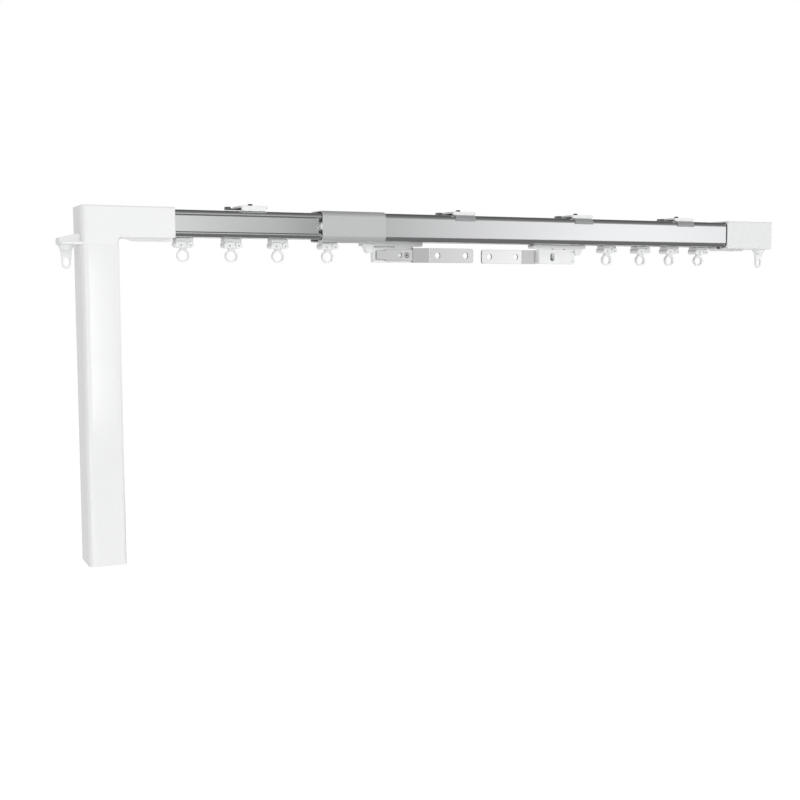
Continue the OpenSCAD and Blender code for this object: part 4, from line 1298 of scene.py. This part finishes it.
@dataclass
class Studio:
    """Floor, light, reflection cards and the camera; lengths are in metres."""

    floor_level: float = -1.2
    floor_size: float = 40.0
    floor_tone: float = 0.8
    floor_glow: float = 0.5
    ambient: float = 0.66
    lamps: tuple[SoftBox, ...] = (
        SoftBox("key_light", (0.9, -1.7, 0.9), (0.0, 0.0, -0.1), (1.8, 1.4), power=16.0),
        SoftBox("fill_light", (0.0, -0.35, -1.15), (0.0, 0.0, -0.1), (2.0, 0.8), power=8.0),
        SoftBox(
            "strip_light", (-1.35, -0.95, -0.2), (-0.36, 0.0, -0.2), (0.16, 0.9), power=2.3,
            hidden=False,
        ),
    )
    cards: tuple[Card, ...] = (
        Card(
            "front_card", "card_glow", (-3.2, -2.4, -0.34), (6.4, 0.0, 0.0), (0.0, 0.0, 0.66),
            (
                (-0.60, 1.05), (-0.12, 0.80), (0.02, 0.45), (0.16, 0.60), (0.25, 0.95),
                (0.32, 0.84), (0.47, 0.67), (0.64, 0.58), (0.695, 0.56), (0.72, 0.28),
                (0.775, 0.28), (0.80, 0.44), (0.98, 0.55), (1.21, 0.75), (1.46, 0.94),
                (1.64, 1.06), (1.80, 1.17), (2.05, 1.17), (2.25, 1.09), (2.45, 0.98),
            ),
            axis="X",
        ),
        Card(
            "upper_flag", "upper_flag_glow", (-3.2, -2.4, 0.36), (6.4, 0.0, 0.0),
            (0.0, 3.0, 0.0), ((-1.5, 0.42), (0.1, 0.10)),
        ),
        Card(
            "lower_flag", "lower_flag_glow", (-0.34, -2.4, -0.40), (3.54, 0.0, 0.0),
            (0.0, 3.0, 0.0), ((0.0, 0.17),),
        ),
        Card(
            "streak_card", "streak_glow", (-0.292, -0.6, -0.26), (0.030, 0.0, 0.0),
            (0.0, 0.0, 0.23), ((0.0, 6.0),),
        ),
        Card(
            "back_flag", "back_flag_glow", (-1.6, 1.2, -0.9), (1.15, 0.0, 0.0),
            (0.0, 0.0, 1.4), ((0.0, 0.7),),
        ),
    )
    camera_place: Point = (-0.5489, -1.0510, -0.0708)
    camera_turn: float = 24.77
    camera_dip: float = 5.68
    camera_sensor: float = 36.0
    camera_lens: float = 52.64
    camera_reach: tuple[float, float] = (0.01, 100.0)

    def build(self) -> None:
        """Set up everything round the object."""
        bpy.context.scene.view_settings.view_transform = "Standard"
        self._world()
        self._floor()
        for item in (*self.cards, *self.lamps):
            item.hang()
        self._camera()

    def _world(self) -> None:
        """White to the eye and in reflections, a softer level as light."""
        world = bpy.data.worlds.new("studio_world")
        bpy.context.scene.world = world
        world.use_nodes = True
        sheet = NodeSheet(world.node_tree)
        leave = sheet.add("ShaderNodeOutputWorld")
        path = sheet.add("ShaderNodeLightPath")
        through = sheet.compute("MAXIMUM", sheet.seen(), path.outputs["Is Transmission Ray"])
        choice = sheet.add("ShaderNodeMixShader")
        sheet.join(through, choice.inputs[0])
        for number, level in enumerate((self.ambient, 1.0), start=1):
            light = sheet.add("ShaderNodeBackground")
            light.inputs["Color"].default_value = WHITE
            light.inputs["Strength"].default_value = level
            sheet.join(light.outputs[0], choice.inputs[number])
        sheet.join(choice.outputs[0], leave.inputs["Surface"])

    def _floor(self) -> None:
        """Pale floor that looks white and still takes the shadow."""
        half = self.floor_size / 2.0
        floor = new_plate(
            "floor",
            Vector((-half, -half, self.floor_level)),
            Vector((self.floor_size, 0.0, 0.0)),
            Vector((0.0, self.floor_size, 0.0)),
        )
        made, sheet, leave = new_material("floor_white")
        matt = sheet.add("ShaderNodeBsdfDiffuse")
        matt.inputs["Color"].default_value = (*[self.floor_tone] * 3, 1.0)
        glow = sheet.add("ShaderNodeEmission")
        level = sheet.compute("MULTIPLY", sheet.seen(), self.floor_glow)
        sheet.join(level, glow.inputs["Strength"])
        both = sheet.add("ShaderNodeAddShader")
        sheet.join(matt.outputs[0], both.inputs[0])
        sheet.join(glow.outputs[0], both.inputs[1])
        sheet.join(both.outputs[0], leave)
        floor.data.materials.append(made)

    def _camera(self) -> None:
        """Camera at the photograph's place, found from the track's edges."""
        turn = math.radians(self.camera_turn)
        dip = math.radians(self.camera_dip)
        level = math.cos(dip)
        forward = Vector((math.sin(turn) * level, math.cos(turn) * level, -math.sin(dip)))
        data = bpy.data.cameras.new("photo_camera")
        data.sensor_width = self.camera_sensor
        data.lens = self.camera_lens
        data.clip_start, data.clip_end = self.camera_reach
        camera = bpy.data.objects.new("photo_camera", data)
        camera.location = self.camera_place
        camera.rotation_mode = "QUATERNION"
        camera.rotation_quaternion = forward.to_track_quat("-Z", "Y")
        bpy.context.scene.collection.objects.link(camera)
        bpy.context.scene.camera = camera


def main() -> None:
    """Build and dress the track, sub-assembly by sub-assembly."""
    logging.basicConfig(level=logging.INFO, format="%(name)s: %(message)s")
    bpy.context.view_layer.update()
    Studio().build()
    drive, far_end, carriers, clips = DriveUnit(), ReturnUnit(), CarrierPair(), CeilingClips()
    for part in (Rails(), drive, far_end, carriers, GliderRow(), clips):
        part.dress()
    for part in (drive, far_end, carriers, clips, BeltLoop()):
        part.build()


if __name__ == "__main__":
    main()
